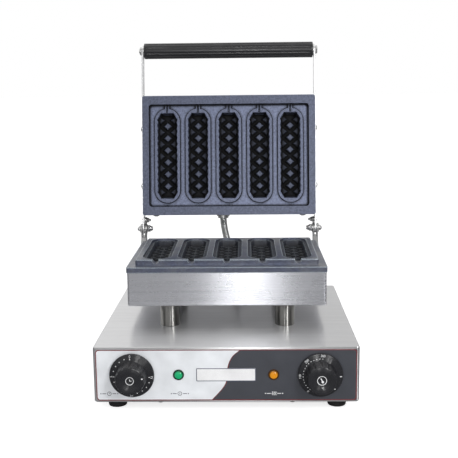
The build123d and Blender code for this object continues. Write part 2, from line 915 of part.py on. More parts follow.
# Lower casing: holes for the tubes of the posts and for the bracket screws
bracket_top = -(pivot_rise + lip_thickness + 2 * clear_gap)
bracket_x = arm_x + fork_width / 2 - bracket_plate_width / 2
bracket_screw_x = bracket_x - bracket_screw_inset
bracket_middle = bracket_top - bracket_plate_drop / 2
bracket_screw_points = [
    (side * bracket_screw_x, pivot_z + bracket_middle + step * bracket_screw_pitch / 2)
    for side in (-1, 1)
    for step in (-1, 1)
]
lower_rear_y = pivot_y + lid_wall_y

with BuildPart() as lower_casing:
    add(casing_on(lower_back, casing_height).part)
    with BuildSketch(lower_back.offset(casing_height + overrun)):
        with Locations(*corners(post_x, post_offset)):
            Circle(tube_radius + screw_gap)
    extrude(amount=-casing_sheet - 2 * overrun, mode=Mode.SUBTRACT)
    with BuildSketch(front_plane(lower_rear_y + overrun)):
        with Locations(*bracket_screw_points):
            Circle(bracket_screw_radius + running_gap)
    extrude(amount=casing_sheet + 2 * overrun, mode=Mode.SUBTRACT)
save(lower_casing, "lower_casing")

# Upper casing: holes for the conduit, the rear screws and the arm screws
with BuildPart() as upper_casing:
    add(casing_on(upper_back, lid_height).part)
    with BuildSketch(facing(lid, 0, lid_wall_y + overrun, 0, lid.y_dir)):
        with Locations((conduit_lid_x, -conduit_lid_rise)):
            Circle(conduit_tail_radius + screw_gap)
        with Locations((-cover_screw_x, -cover_screw_rise), (cover_screw_x, -cover_screw_rise)):
            Circle(cover_screw_shank + running_gap)
    extrude(amount=-casing_sheet - 2 * overrun, mode=Mode.SUBTRACT)
    for side in (-1, 1):
        with BuildSketch(sideways(lid, side * (casing_width / 2 + overrun))):
            with Locations(*arm_screw_points):
                Circle(cover_screw_shank + running_gap)
        extrude(amount=-side * (casing_sheet + 2 * overrun), mode=Mode.SUBTRACT)
save(upper_casing, "upper_casing")

cover_screw = pan_screw(
    cover_screw_radius, cover_screw_height, cover_screw_shank, cover_screw_length
)
save(
    grouped(
        cover_screw,
        [
            facing(lid, side * cover_screw_x, lid_wall_y, cover_screw_rise, lid.y_dir)
            for side in (-1, 1)
        ],
    ),
    "lid_rear_screws",
)


# Hinge: forked brackets with their screws, pivot bolts, washers and cap nuts
def bracket(side):
    """A forked bracket with its screwed plate and its stop lug."""
    middle = side * arm_x
    wall = lid_wall_y
    low = bracket_top - bracket_plate_drop
    lug = (
        stop_reach * math.sin(math.radians(open_lean)) + stop_spacer_radius + clear_gap,
        (stop_lug_rise - fork_floor) / 2,
    )
    with BuildPart() as fork:
        with BuildSketch(sideways(hinge, middle - fork_width / 2)):
            with BuildLine():
                Polyline(
                    (-fork_radius, 0),
                    (-fork_radius, -fork_neck),
                    (wall + bracket_toe, bracket_top),
                    (wall, bracket_top),
                    (wall, low),
                    (wall + bracket_plate, low),
                    (fork_radius, -fork_root),
                    (fork_radius, 0),
                )
                ThreePointArc((fork_radius, 0), (0, fork_radius), (-fork_radius, 0))
            make_face()
        extrude(amount=fork_width)
        with BuildSketch(front_plane(pivot_y + wall)):
            with Locations((side * bracket_x, pivot_z + bracket_middle)):
                RectangleRounded(bracket_plate_width, bracket_plate_drop, corner_radius)
            with Locations(*bracket_screw_points):
                Circle(bracket_screw_radius + running_gap, mode=Mode.SUBTRACT)
        extrude(amount=-bracket_plate)
        with BuildSketch(sideways(hinge, middle - side * fork_width / 2)):
            with Locations((lug[0] + stop_lug_depth / 2, lug[1])):
                Rectangle(stop_lug_depth, stop_lug_rise + fork_floor)
        extrude(amount=side * (fork_width - fork_slot) / 2)
        with BuildSketch(sideways(hinge, middle - fork_slot / 2)):
            with Locations((0, stop_lug_rise - fork_floor)):
                Rectangle(2 * stop_lug_rise, 2 * stop_lug_rise)
        extrude(amount=fork_slot, mode=Mode.SUBTRACT)
        with BuildSketch(sideways(hinge, middle - fork_width)):
            Circle(pivot_radius + running_gap)
        extrude(amount=2 * fork_width, mode=Mode.SUBTRACT)
    return fork


save(bracket(-1), "hinge_bracket_left")
save(bracket(1), "hinge_bracket_right")

bracket_screw = pan_screw(
    bracket_head_radius, bracket_head_height, bracket_screw_radius, bracket_screw_length
)
save(
    grouped(
        bracket_screw,
        [
            Plane((x, lower_rear_y + bracket_plate, z), z_dir=(0, 1, 0))
            for x, z in bracket_screw_points
        ],
    ),
    "bracket_screws",
)
save(
    grouped(
        foot_nut,
        [
            Plane((x, lower_rear_y - casing_sheet, z), z_dir=(0, -1, 0))
            for x, z in bracket_screw_points
        ],
    ),
    "bracket_nuts",
)


def outward(frame, x, y, direction, side):
    """A plane at a side of a frame, facing outwards (direction 1) or inwards (-1)."""
    return Plane(
        point(frame, side * x, y, 0),
        x_dir=frame.y_dir,
        z_dir=direction * side * frame.x_dir,
    )


def at_both(unit, frame, x, y, direction):
    """The same piece at the left and at the right side."""
    return grouped(unit, [outward(frame, x, y, direction, side) for side in (-1, 1)])


cheek_out = arm_x + fork_width / 2
cheek_in = arm_x - fork_width / 2
pivot_bolt = pan_screw(
    pivot_head_radius,
    pivot_head_height,
    pivot_radius,
    fork_width + 2 * washer_thickness + cap_nut_hex + thread_tail,
)
washer = ring(washer_radius, pivot_radius + running_gap, washer_thickness)
save(at_both(pivot_bolt, hinge, cheek_out + washer_thickness, 0, 1), "pivot_bolts")
with BuildPart() as pivot_washers:
    add(at_both(washer, hinge, cheek_out, 0, 1).part)
    add(at_both(washer, hinge, cheek_in, 0, -1).part)
save(pivot_washers, "pivot_washers")
save(
    at_both(
        cap_nut(cap_nut_radius, cap_nut_hex, pivot_radius),
        hinge,
        cheek_in - washer_thickness,
        0,
        -1,
    ),
    "pivot_cap_nuts",
)


# Lid arms, their screws, and the stop bolts that meet the lugs when the lid is open
def arm(side):
    """A flat strip arm from the pivot to the handle."""
    with BuildPart() as strip:
        with BuildSketch(sideways(lid, side * casing_width / 2)):
            with Locations((-arm_length / 2, 0)):
                SlotCenterToCenter(arm_length, arm_width)
            Circle(pivot_radius + running_gap, mode=Mode.SUBTRACT)
            with Locations((-stop_reach, 0), *arm_screw_points):
                Circle(stop_radius + running_gap, mode=Mode.SUBTRACT)
            with Locations((-arm_length, 0)):
                Circle(rod_radius + running_gap, mode=Mode.SUBTRACT)
        extrude(amount=side * arm_thickness)
    return strip


save(arm(-1), "arm_left")
save(arm(1), "arm_right")
arm_out = casing_width / 2 + arm_thickness
arm_screw = pan_screw(
    cover_screw_radius, cover_screw_height, cover_screw_shank, arm_screw_length
)
save(
    grouped(
        arm_screw,
        [
            outward(lid, arm_out, y, 1, side)
            for side in (-1, 1)
            for y, z in arm_screw_points
        ],
    ),
    "arm_screws",
)
stop_bolt = pan_screw(
    stop_head_radius,
    stop_head,
    stop_radius,
    arm_thickness + stop_spacer + stop_nut_height + stop_tail,
)
save(at_both(stop_bolt, lid, arm_out, -stop_reach, 1), "stop_bolts")
with BuildPart() as stop_nut:
    add(ring(stop_spacer_radius, stop_radius + running_gap, stop_spacer).part)
    with Locations((0, 0, stop_spacer)):
        add(hexagon_nut(stop_nut_radius, stop_nut_height, stop_radius).part)
save(at_both(stop_nut, lid, casing_width / 2, -stop_reach, -1), "stop_collar_nuts")

# Handle: fluted grip on a through rod between the arms
with BuildPart() as handle_grip:
    with BuildSketch(sideways(lid, -grip_length / 2)):
        with Locations((-arm_length, 0)):
            Circle(grip_radius)
    extrude(amount=grip_length)
    chamfer(handle_grip.edges().filter_by(GeomType.CIRCLE), edge_break)
    with BuildSketch(sideways(lid, -grip_length / 2 - overrun)):
        with Locations((-arm_length, 0)):
            Circle(rod_radius + running_gap)
            with PolarLocations(grip_radius + flute_radius / 2, grip_flutes):
                Circle(flute_radius)
    extrude(amount=grip_length + 2 * overrun, mode=Mode.SUBTRACT)
save(handle_grip, "handle_grip")
rod_length = 2 * arm_out + cap_nut_hex + thread_tail
handle_rod = pan_screw(rod_head_radius, rod_head_height, rod_radius, rod_length)
save(grouped(handle_rod, [outward(lid, arm_out, -arm_length, 1, -1)]), "handle_rod")
rod_nut = cap_nut(rod_head_radius, cap_nut_hex, rod_radius)
save(grouped(rod_nut, [outward(lid, arm_out, -arm_length, 1, 1)]), "handle_nut")
save(
    at_both(
        ring(grip_washer_radius, rod_radius + running_gap, grip_washer_thickness),
        lid,
        casing_width / 2,
        -arm_length,
        -1,
    ),
    "handle_washers",
)

# Control panel: printed overlay, blank name plate
with BuildPart() as control_overlay:
    with BuildSketch(front_plane(front_y)):
        with Locations((0, base_top - overlay_drop - overlay_height / 2)):
            RectangleRounded(overlay_width, overlay_height, overlay_radius)
        with Locations((-knob_x, control_z), (knob_x, control_z)):
            Circle(overlay_hole_radius, mode=Mode.SUBTRACT)
        with Locations((-lamp_x, control_z), (lamp_x, control_z)):
            Circle(lamp_body_radius + screw_gap, mode=Mode.SUBTRACT)
    extrude(amount=overlay_thickness)
save(control_overlay, "control_overlay")

with BuildPart() as name_plate:
    with BuildSketch(front_plane(front_y - overlay_thickness)):
        with Locations((0, control_z)):
            RectangleRounded(name_plate_width, name_plate_height, name_plate_radius)
    extrude(amount=name_plate_thickness)
save(name_plate, "name_plate")


# Timer and thermostat: a body behind the wall, a shaft and a knob in front
def control_frame(x):
    """A frame on the wall's outer face at a control: z points at the user."""
    return Plane((x, front_y, control_z), x_dir=(1, 0, 0), z_dir=(0, -1, 0))


knob_base = overlay_thickness + knob_gap
hub_base = bush_reach - knob_base + knob_gap
hub_top = knob_depth - knob_wall - dish_depth
shaft_tip = knob_base + hub_top - shaft_tail

with BuildPart() as knob:
    with BuildSketch(Plane.XZ):
        with BuildLine():
            Polyline(
                (0, 0),
                (knob_radius - edge_break / 2, 0),
                (knob_radius, edge_break / 2),
                (knob_radius, skirt_edge - edge_break),
                (knob_radius - edge_break, skirt_edge),
                (body_root_radius, skirt_edge + skirt_slope),
                (body_top_radius, knob_depth - body_round),
            )
            corner = body_round / 2 * math.sqrt(1 / 2)
            ThreePointArc(
                (body_top_radius, knob_depth - body_round),
                (body_top_radius - body_round / 2 + corner, knob_depth - body_round + 2 * corner),
                (body_top_radius - body_round, knob_depth),
            )
            Polyline(
                (body_top_radius - body_round, knob_depth),
                (dish_radius, knob_depth),
                (0, knob_depth),
                (0, 0),
            )
        make_face()
    revolve(axis=Axis.Z)
    # Dished front
    with BuildSketch(Plane.XZ):
        with BuildLine():
            Polyline((dish_radius, knob_depth), (0, knob_depth), (0, knob_depth - dish_depth))
            ThreePointArc(
                (0, knob_depth - dish_depth),
                (dish_radius / 2, knob_depth - dish_depth * crown_share),
                (dish_radius, knob_depth),
            )
        make_face()
    revolve(axis=Axis.Z, mode=Mode.SUBTRACT)
    # Finger scallops down the side of the body
    lean = Plane(
        (body_root_radius + scallop_radius - scallop_bite, 0, skirt_edge + skirt_slope),
        x_dir=(0, 1, 0),
        z_dir=(body_top_radius - body_root_radius, 0, knob_depth - skirt_edge - skirt_slope),
    )
    with BuildPart(mode=Mode.PRIVATE) as scallop:
        with BuildSketch(lean.offset(overrun)):
            Circle(scallop_radius)
        extrude(amount=knob_depth)
    with PolarLocations(0, grip_scallops):
        add(scallop.part, mode=Mode.SUBTRACT)
    # Hollow back round the hub, and the bore for the flatted shaft
    with BuildSketch(Plane.XZ):
        with BuildLine():
            Polyline(
                (0, 0),
                (knob_radius - knob_wall, 0),
                (knob_radius - knob_wall, edge_break),
                (body_root_radius - knob_wall, skirt_edge + skirt_slope - knob_wall),
                (body_top_radius - knob_wall, hub_top),
                (hub_radius, hub_top),
                (hub_radius, hub_base),
                (0, hub_base),
                close=True,
            )
        make_face()
    revolve(axis=Axis.Z, mode=Mode.SUBTRACT)
    with BuildSketch(Plane.XY.offset(hub_base)):
        Circle(shaft_radius + running_gap)
        with Locations((0, 2 * shaft_radius - shaft_flat + running_gap)):
            Rectangle(4 * shaft_radius, 2 * shaft_radius, mode=Mode.SUBTRACT)
    extrude(amount=shaft_tip - knob_base - hub_base + clear_gap, mode=Mode.SUBTRACT)

with BuildPart() as shaft:
    with BuildSketch(Plane.XY.offset(-shaft_tail)):
        Circle(shaft_radius)
    extrude(amount=shaft_tail + shaft_tip)
    with BuildSketch(Plane.XY.offset(bush_reach + clear_gap)):
        with Locations((0, 2 * shaft_radius - shaft_flat)):
            Rectangle(4 * shaft_radius, 2 * shaft_radius)
    extrude(amount=shaft_tip, mode=Mode.SUBTRACT)


def control_body(width, height, depth):
    """A control behind the wall: mounting plate, case, and a bush through the wall."""
    with BuildPart() as control:
        with BuildSketch(Plane.XY.offset(-sheet)):
            RectangleRounded(width, height, corner_radius)
        extrude(amount=-control_plate)
        with BuildSketch(Plane.XY.offset(-sheet)):
            Circle(bush_radius)
        extrude(amount=sheet + bush_reach)
        with BuildSketch(Plane.XY.offset(-sheet - control_plate)):
            if width > height:
                RectangleRounded(width - corner_radius, height - corner_radius, corner_radius)
            else:
                Circle(timer_radius)
        extrude(amount=control_plate - depth)
        with BuildSketch(Plane.XY.offset(bush_reach + overrun)):
            Circle(shaft_radius + running_gap)
        extrude(amount=-bush_reach - 2 * overrun - shaft_tail, mode=Mode.SUBTRACT)
    return control


timer_place = control_frame(-knob_x)
thermostat_place = control_frame(knob_x)
save(grouped(shaft, [timer_place]), "timer_shaft")
save(grouped(shaft, [thermostat_place]), "thermostat_shaft")
save(grouped(knob, [timer_place.offset(knob_base)]), "timer_knob")
save(grouped(knob, [thermostat_place.offset(knob_base)]), "thermostat_knob")
save(
    grouped(control_body(timer_plate, timer_plate, timer_depth), [timer_place]), "timer_body"
)
with BuildPart() as thermostat_body:
    with Locations(thermostat_place):
        add(control_body(thermostat_width, thermostat_height, thermostat_depth).part)
    with BuildSketch(thermostat_place.offset(-sheet - thermostat_depth)):
        Circle(thermostat_cup_radius)
    extrude(amount=-thermostat_cup_depth)
save(thermostat_body, "thermostat_body")
bush_nut = hexagon_nut(bush_nut_radius, bush_nut_height, bush_radius)
save(grouped(bush_nut, [timer_place, thermostat_place]), "control_bush_nuts")

# Lamps: a domed lens in front of the overlay on a body through the wall
with BuildPart() as lamp_lens:
    with BuildSketch(Plane.XZ):
        with BuildLine():
            Polyline((0, lens_rim + lens_dome), (0, 0), (lens_radius, 0), (lens_radius, lens_rim))
            crown(lens_radius, lens_rim, lens_dome)
        make_face()
    revolve(axis=Axis.Z)
lamp_body = bar(lamp_body_radius, lamp_body_length + overlay_thickness)
lamp_nut = hexagon_nut(lamp_nut_radius, lamp_nut_height, lamp_body_radius)
lamp_places = [control_frame(-lamp_x), control_frame(lamp_x)]
save(grouped(lamp_lens, [lamp_places[0].offset(overlay_thickness)]), "green_lamp_lens")
save(grouped(lamp_lens, [lamp_places[1].offset(overlay_thickness)]), "amber_lamp_lens")
save(grouped(lamp_body, [place.offset(-lamp_body_length) for place in lamp_places]), "lamp_bodies")
save(
    grouped(lamp_nut, [place.offset(-sheet - lamp_nut_height) for place in lamp_places]),
    "lamp_nuts",
)

# Rear fittings: cable gland, earth stud, and the terminal block on the floor
rear_wall = Plane(
    (0, front_y + base_depth, base_bottom + gland_rise), x_dir=(-1, 0, 0), z_dir=(0, 1, 0)
)
with BuildPart() as gland:
    with BuildSketch(Plane.XZ):
        with BuildLine():
            Polyline(
                (gland_bore, -gland_inside),
                (gland_neck_radius, -gland_inside),
                (gland_neck_radius, 0),
                (gland_flange_radius, 0),
                (gland_flange_radius, gland_flange - edge_break),
                (gland_flange_radius - edge_break, gland_flange),
                (gland_neck_radius, gland_flange),
                (gland_neck_radius - edge_break, gland_nose),
                (gland_bore, gland_nose),
                close=True,
            )
        make_face()
    revolve(axis=Axis.Z)
gland_nut_height = gland_inside - sheet - gland_thread_end
gland_nut = hexagon_nut(gland_flange_radius, gland_nut_height, gland_neck_radius)
with BuildPart() as cable_gland:
    with Locations(rear_wall * Pos(-gland_x, 0)):
        add(gland.part)
        with Locations((0, 0, -sheet - gland_nut_height)):
            add(gland_nut.part)
save(cable_gland, "cable_gland")

earth_bolt = pan_screw(
    earth_nut_radius, foot_head_height, earth_radius, sheet + earth_nut_height + earth_reach
)
earth_nut = hexagon_nut(earth_nut_radius, earth_nut_height, earth_radius)
with BuildPart() as earth_stud:
    with Locations(rear_wall * Pos(-earth_x, 0)):
        add(earth_bolt.part)
        with Locations((0, 0, -sheet - earth_nut_height)):
            add(earth_nut.part)
save(earth_stud, "earth_stud")

with BuildPart() as terminal_block:
    with BuildSketch(Plane.XY.offset(base_bottom)):
        with Locations((block_x, front_y + base_depth - block_setback)):
            RectangleRounded(terminal_width, terminal_depth, block_radius)
    extrude(amount=terminal_height)
    with BuildSketch(Plane.XY.offset(base_bottom + terminal_height)):
        with Locations((block_x, front_y + base_depth - block_setback)):
            with GridLocations(terminal_width / terminal_ways, 0, terminal_ways, 1):
                Circle(terminal_hole)
            with GridLocations(terminal_width / terminal_ways, 0, terminal_ways - 1, 1):
                Rectangle(terminal_groove, terminal_depth)
    extrude(amount=-terminal_height / 2, mode=Mode.SUBTRACT)
save(terminal_block, "terminal_block")

# Thermostat bulb between the lower plate and its clamp, and the capillary to the control
middle_y = front_y + casing_setback + casing_depth / 2
bulb_z = rim_z - lip_thickness - block_drop - heater_radius
turn_z = rim_z - lip_thickness - capillary_depth
rear_post_y = middle_y + post_offset
cup_y = front_y + sheet + thermostat_depth + thermostat_cup_depth
bulb_front = middle_y - heater_half_length / 2 + bulb_front_gap
bulb_rear = middle_y + heater_half_length - bulb_rear_gap
with BuildPart() as thermostat_capillary:
    with BuildSketch(front_plane(bulb_front)):
        with Locations((0, bulb_z)):
            Circle(heater_radius)
    extrude(amount=bulb_front - bulb_rear)
    with BuildLine():
        FilletPolyline(
            (0, bulb_rear - capillary_root, bulb_z),
            (0, rear_post_y, bulb_z),
            (0, rear_post_y, turn_z),
            (post_x, rear_post_y, turn_z),
            (post_x, rear_post_y, control_z),
            (knob_x, cup_y + capillary_lead, control_z),
            (knob_x, cup_y, control_z),
            radius=capillary_bend,
        )
    with BuildSketch(front_plane(bulb_rear - capillary_root)):
        with Locations((0, bulb_z)):
            Circle(capillary_radius)
    sweep()
save(thermostat_capillary, "thermostat_capillary")

# Conduit: ribbed metal hose in an easy bend from the base to the lid, with its glands
with BuildPart() as conduit_gland:
    with BuildSketch(Plane.XZ):
        with BuildLine():
            Polyline(
                (conduit_bore, -conduit_gland_tail),
                (conduit_tail_radius, -conduit_gland_tail),
                (conduit_tail_radius, 0),
                (conduit_flange_radius, 0),
                (conduit_flange_radius, conduit_gland_flange),
                (conduit_gland_radius, conduit_gland_flange),
                (conduit_gland_radius, conduit_gland_height - edge_break),
                (conduit_gland_radius - edge_break, conduit_gland_height),
                (conduit_radius + clear_gap, conduit_gland_height),
                (conduit_radius + clear_gap, 0),
                (conduit_bore, 0),
                close=True,
            )
        make_face()
    revolve(axis=Axis.Z)
conduit_nut = hexagon_nut(conduit_nut_radius, conduit_nut_height, conduit_tail_radius)
lid_hole = facing(lid, conduit_lid_x, lid_wall_y, conduit_lid_rise, lid.y_dir)
base_hole = Plane((conduit_base_x, front_y + conduit_base_setback, base_top))


def gland_and_nut(hole, thickness):
    """A conduit gland in its hole, with the lock nut behind the sheet."""
    with BuildPart() as pair:
        with Locations(hole):
            add(conduit_gland.part)
            with Locations((0, 0, -thickness - conduit_nut_height)):
                add(conduit_nut.part)
    return pair


save(gland_and_nut(base_hole, sheet), "conduit_gland_base")
save(gland_and_nut(lid_hole, casing_sheet), "conduit_gland_lid")

hose_start = base_hole.origin
hose_end = lid_hole.origin
hose_pulls = [
    hose_start,
    hose_start + base_hole.z_dir * conduit_pull,
    hose_end + lid_hole.z_dir * conduit_pull,
    hose_end,
]


def hose_plane(share):
    """A plane across the hose at a share of its run, with a steady x axis."""
    rest = 1 - share
    weights = [rest**3, 3 * rest**2 * share, 3 * rest * share**2, share**3]
    slopes = [-(rest**2), rest**2 - 2 * rest * share, 2 * rest * share - share**2, share**2]
    place = sum((p * w for p, w in zip(hose_pulls, weights)), Vector(0, 0, 0))
    along = sum((p * w for p, w in zip(hose_pulls, slopes)), Vector(0, 0, 0))
    across = Vector(0, 1, 0).cross(along)
    return Plane(place, x_dir=across, z_dir=along)


rib_circles = [
    (share, radius)
    for i in range(conduit_ribs)
    for share, radius in [
        (i / conduit_ribs, conduit_valley),
        ((i + 1 / 4) / conduit_ribs, conduit_radius),
        ((i + 1 / 2) / conduit_ribs, conduit_radius),
        ((i + 3 / 4) / conduit_ribs, conduit_valley),
    ]
] + [(1, conduit_valley)]
with BuildPart() as conduit:
    for share, radius in rib_circles:
        with BuildSketch(hose_plane(share)):
            Circle(radius)
    loft(ruled=True)
    for i in range(conduit_ribs + 1):
        with BuildSketch(hose_plane(i / conduit_ribs)):
            Circle(conduit_bore)
    loft(ruled=True, mode=Mode.SUBTRACT)
save(conduit, "conduit")
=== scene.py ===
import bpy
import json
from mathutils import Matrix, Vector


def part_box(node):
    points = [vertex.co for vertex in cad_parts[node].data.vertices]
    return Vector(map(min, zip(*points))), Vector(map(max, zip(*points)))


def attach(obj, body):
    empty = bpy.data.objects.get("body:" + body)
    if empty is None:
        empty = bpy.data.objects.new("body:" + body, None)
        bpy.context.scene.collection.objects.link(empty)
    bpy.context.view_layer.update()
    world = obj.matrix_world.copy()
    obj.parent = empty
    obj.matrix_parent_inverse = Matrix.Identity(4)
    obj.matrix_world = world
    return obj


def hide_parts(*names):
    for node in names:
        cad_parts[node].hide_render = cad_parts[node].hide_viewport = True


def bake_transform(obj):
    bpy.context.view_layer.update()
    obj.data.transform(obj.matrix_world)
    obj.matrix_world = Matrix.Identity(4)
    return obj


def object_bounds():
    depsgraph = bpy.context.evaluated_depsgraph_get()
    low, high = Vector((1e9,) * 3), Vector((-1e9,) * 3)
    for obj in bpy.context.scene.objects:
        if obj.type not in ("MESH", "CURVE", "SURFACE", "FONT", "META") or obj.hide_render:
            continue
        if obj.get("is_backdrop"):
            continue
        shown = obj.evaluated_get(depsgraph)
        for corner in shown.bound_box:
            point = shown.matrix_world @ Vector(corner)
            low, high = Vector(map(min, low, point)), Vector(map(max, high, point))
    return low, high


bl_info = {
    "name": "Waffle stick maker",
    "version": (1, 0, 0),
    "blender": (4, 5, 0),
    "location": "View3D > Sidebar > Waffle maker",
    "description": "Finishes, prints and fittings of a countertop waffle stick maker",
    "category": "Object",
}

import json
import math

import bmesh
import bpy
from bpy.props import (
    FloatProperty,
    FloatVectorProperty,
    IntProperty,
    PointerProperty,
)
from mathutils import Matrix, Vector

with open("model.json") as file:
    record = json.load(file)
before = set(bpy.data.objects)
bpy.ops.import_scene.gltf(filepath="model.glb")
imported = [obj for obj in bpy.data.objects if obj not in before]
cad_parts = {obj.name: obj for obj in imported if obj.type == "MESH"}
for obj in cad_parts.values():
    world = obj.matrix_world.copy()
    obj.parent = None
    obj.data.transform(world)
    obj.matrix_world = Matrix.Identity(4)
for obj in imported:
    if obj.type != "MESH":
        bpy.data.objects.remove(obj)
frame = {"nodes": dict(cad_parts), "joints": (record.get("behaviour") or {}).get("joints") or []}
cad_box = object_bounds()
MM = 0.001
SIDES = (-1, 1)


def joint(name):
    """The record's entry for one of the machine's joints."""
    return next(j for j in frame["joints"] if j["name"] == name)


def shift(x, y, z):
    """A move."""
    return Matrix.Translation((x, y, z))


def turn(degrees, axis):
    """A turn about an axis."""
    return Matrix.Rotation(math.radians(degrees), 4, axis)


# Places that the frame gives
pivot = Vector(joint("lid_hinge")["pos_m"])
lid_place = shift(*pivot) @ turn(-joint("lid_hinge")["range_deg"][1], "X")
wall_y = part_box("base_cover")[0].y
base_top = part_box("base_cover")[1].z
film_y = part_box("control_overlay")[0].y
lower_low, lower_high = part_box("lower_casing")
lower_middle = (lower_low.y + lower_high.y) / 2
arm_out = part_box("arm_right")[1].x
casing_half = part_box("upper_casing")[1].x

# Places that it doesn't give. Those on the lid are in its own frame, which has its
# origin on the hinge's axis and is level when the lid is closed
platform_top = lower_high.z + 13.7 * MM
stick_pitch = 42.9 * MM
cover_screw_x = 104.0 * MM
cover_screw_y = 66.0 * MM
lid_face = -14.2 * MM
lid_middle = -101.2 * MM
lid_skin = 30.5 * MM
lid_back = -19.0 * MM
rear_screw_x = 103.0 * MM
rear_screw_z = 2.5 * MM
arm_screw_rows = (-60.0 * MM, -140.0 * MM)
stop_row = -11.8 * MM
foot_recess = 7.0 * MM
pivot_bolt_end = 107.6 * MM


def front_place(x, z, y):
    """A place on the front panel: its own x is right, y is up, z points at the user."""
    return shift(x, y, z) @ turn(90, "X")


def side_place(side, y):
    """A place on the outer face of a lid arm, its z pointing outwards."""
    return lid_place @ shift(side * arm_out, y, 0) @ turn(90 * side, "Y")


# --------------------------------------------------------------------------- settings
def colour(name, description, default):
    """A colour that a user can change."""
    return FloatVectorProperty(
        name=name,
        description=description,
        subtype="COLOR",
        size=3,
        min=0,
        max=1,
        default=default,
    )


def length(name, description, millimetres):
    """A length that a user can change."""
    return FloatProperty(
        name=name, description=description, unit="LENGTH", default=millimetres * MM
    )


def share(name, description, default):
    """A value from 0 to 1 that a user can change."""
    return FloatProperty(
        name=name, description=description, min=0, max=1, default=default
    )


def level(name, description, default):
    """A strength or power that a user can change."""
    return FloatProperty(name=name, description=description, default=default)


def number(name, description, default):
    """A whole number that a user can change."""
    return IntProperty(name=name, description=description, default=default)


class SheetSettings(bpy.types.PropertyGroup):
    """Folded stainless sheet."""

    tint: colour(
        "Sheet colour", "Colour of the brushed stainless sheet", (0.76, 0.76, 0.765)
    )
    roughness: share("Sheet roughness", "How far the brushing blurs reflections", 0.36)
    line_spacing: length(
        "Brush line spacing", "Distance between the lines that the brushing left", 0.45
    )


class PlateSettings(bpy.types.PropertyGroup):
    """Coated heating plates."""

    tint: colour(
        "Coating colour", "Colour of the non-stick coating", (0.078, 0.090, 0.136)
    )
    roughness: share("Coating roughness", "How satin the non-stick coating is", 0.42)
    grain: length("Coating grain", "Size of the fine grain in the coating", 0.7)


class PanelSettings(bpy.types.PropertyGroup):
    """Printed control panel."""

    light_tint: colour(
        "Light half",
        "Colour of the light half of the printed film",
        (0.88, 0.905, 0.94),
    )
    dark_tint: colour(
        "Dark half",
        "Colour of the dark half of the printed film",
        (0.060, 0.064, 0.078),
    )
    line_tint: colour(
        "Border line",
        "Colour of the thin line round the film and between its halves",
        (0.20, 0.035, 0.04),
    )
    line_width: length(
        "Border line width", "Width of the thin line round the film", 1.1
    )
    ink: length("Ink thickness", "Height of the print above the film", 0.06)


class DialSettings(bpy.types.PropertyGroup):
    """Timer and thermostat dials."""

    tint: colour("Dial colour", "Colour of the moulded dials", (0.013, 0.0135, 0.017))
    skirt_radius: length("Skirt radius", "Outer radius of a dial's skirt", 25.3)
    body_radius: length(
        "Grip radius", "Radius of the part of a dial that the fingers turn", 17.6
    )
    face_radius: length("Face radius", "Radius of a dial's front face", 16.4)
    scallops: number("Scallops", "Number of shallow finger scallops round a dial", 12)


class HandleSettings(bpy.types.PropertyGroup):
    """Lid handle."""

    tint: colour("Grip colour", "Colour of the handle's grip", (0.014, 0.014, 0.016))
    radius: length("Grip radius", "Outer radius of the fluted grip", 10.8)
    flutes: number("Flutes", "Number of flutes along the grip", 10)


class HoseSettings(bpy.types.PropertyGroup):
    """Metal conduit between the base and the lid."""

    radius: length("Hose radius", "Outer radius of the conduit", 4.9)
    pull: length("Straight pull", "How far the conduit runs on before it bends", 40.0)
    lid_rise: length(
        "Lid entry",
        "How high over the hinge axis the conduit enters the closed lid",
        17.0,
    )
    ribs: number("Ribs", "Number of ribs along the conduit", 62)


class StudioSettings(bpy.types.PropertyGroup):
    """Floor, lamps and camera."""

    front_power: level("Front lamp", "Power of the tall lamp in front", 2.3)
    right_power: level("Right lamp", "Power of the lamp on the right", 7.0)
    top_power: level("Top lamp", "Power of the lamp overhead", 1.5)
    sky: level("Room light", "Strength of the even room light", 0.95)
    sheen: level("Room reflection", "Strength of the room in reflections", 0.66)
    floor_lift: level(
        "Floor lift", "How much brighter the floor looks to the camera than it is", 0.72
    )
    focal_length: level(
        "Focal length", "Focal length of the camera in millimetres", 64.283
    )


SETTINGS = {
    "waffle_sheet": SheetSettings,
    "waffle_plates": PlateSettings,
    "waffle_panel": PanelSettings,
    "waffle_dials": DialSettings,
    "waffle_handle": HandleSettings,
    "waffle_hose": HoseSettings,
    "waffle_studio": StudioSettings,
}


# ------------------------------------------------------------------------ shader nodes
def add(tree, kind, inputs=None, **settings):
    """Adds a shader node; inputs may be values or other nodes' outputs."""
    made = tree.nodes.new(kind)
    for name, value in settings.items():
        setattr(made, name, value)
    connect(tree, made, inputs or {})
    return made


def connect(tree, made, inputs):
    """Sets or links a node's inputs."""
    for name, value in inputs.items():
        if isinstance(value, bpy.types.NodeSocket):
            tree.links.new(value, made.inputs[name])
        else:
            made.inputs[name].default_value = value


def math_node(tree, operation, first, second=0.5, clamp=False):
    """The result of a sum on one or two values."""
    made = add(tree, "ShaderNodeMath", {0: first, 1: second}, operation=operation)
    made.use_clamp = clamp
    return made.outputs[0]


def vector_node(tree, operation, first, second):
    """The result of a sum on two vectors."""
    made = add(tree, "ShaderNodeVectorMath", {0: first, 1: second}, operation=operation)
    single = operation in ("DOT_PRODUCT", "DISTANCE")
    return made.outputs["Value" if single else "Vector"]


def span(tree, value, low, high, to_low, to_high):
    """A value mapped from one span to another, held at its ends."""
    inputs = {"Value": value, 1: low, 2: high, 3: to_low, 4: to_high}
    return add(tree, "ShaderNodeMapRange", inputs).outputs[0]


def between(tree, factor, first, second):
    """Two values mixed by a mask."""
    return add(tree, "ShaderNodeMix", {0: factor, 2: first, 3: second}).outputs[0]


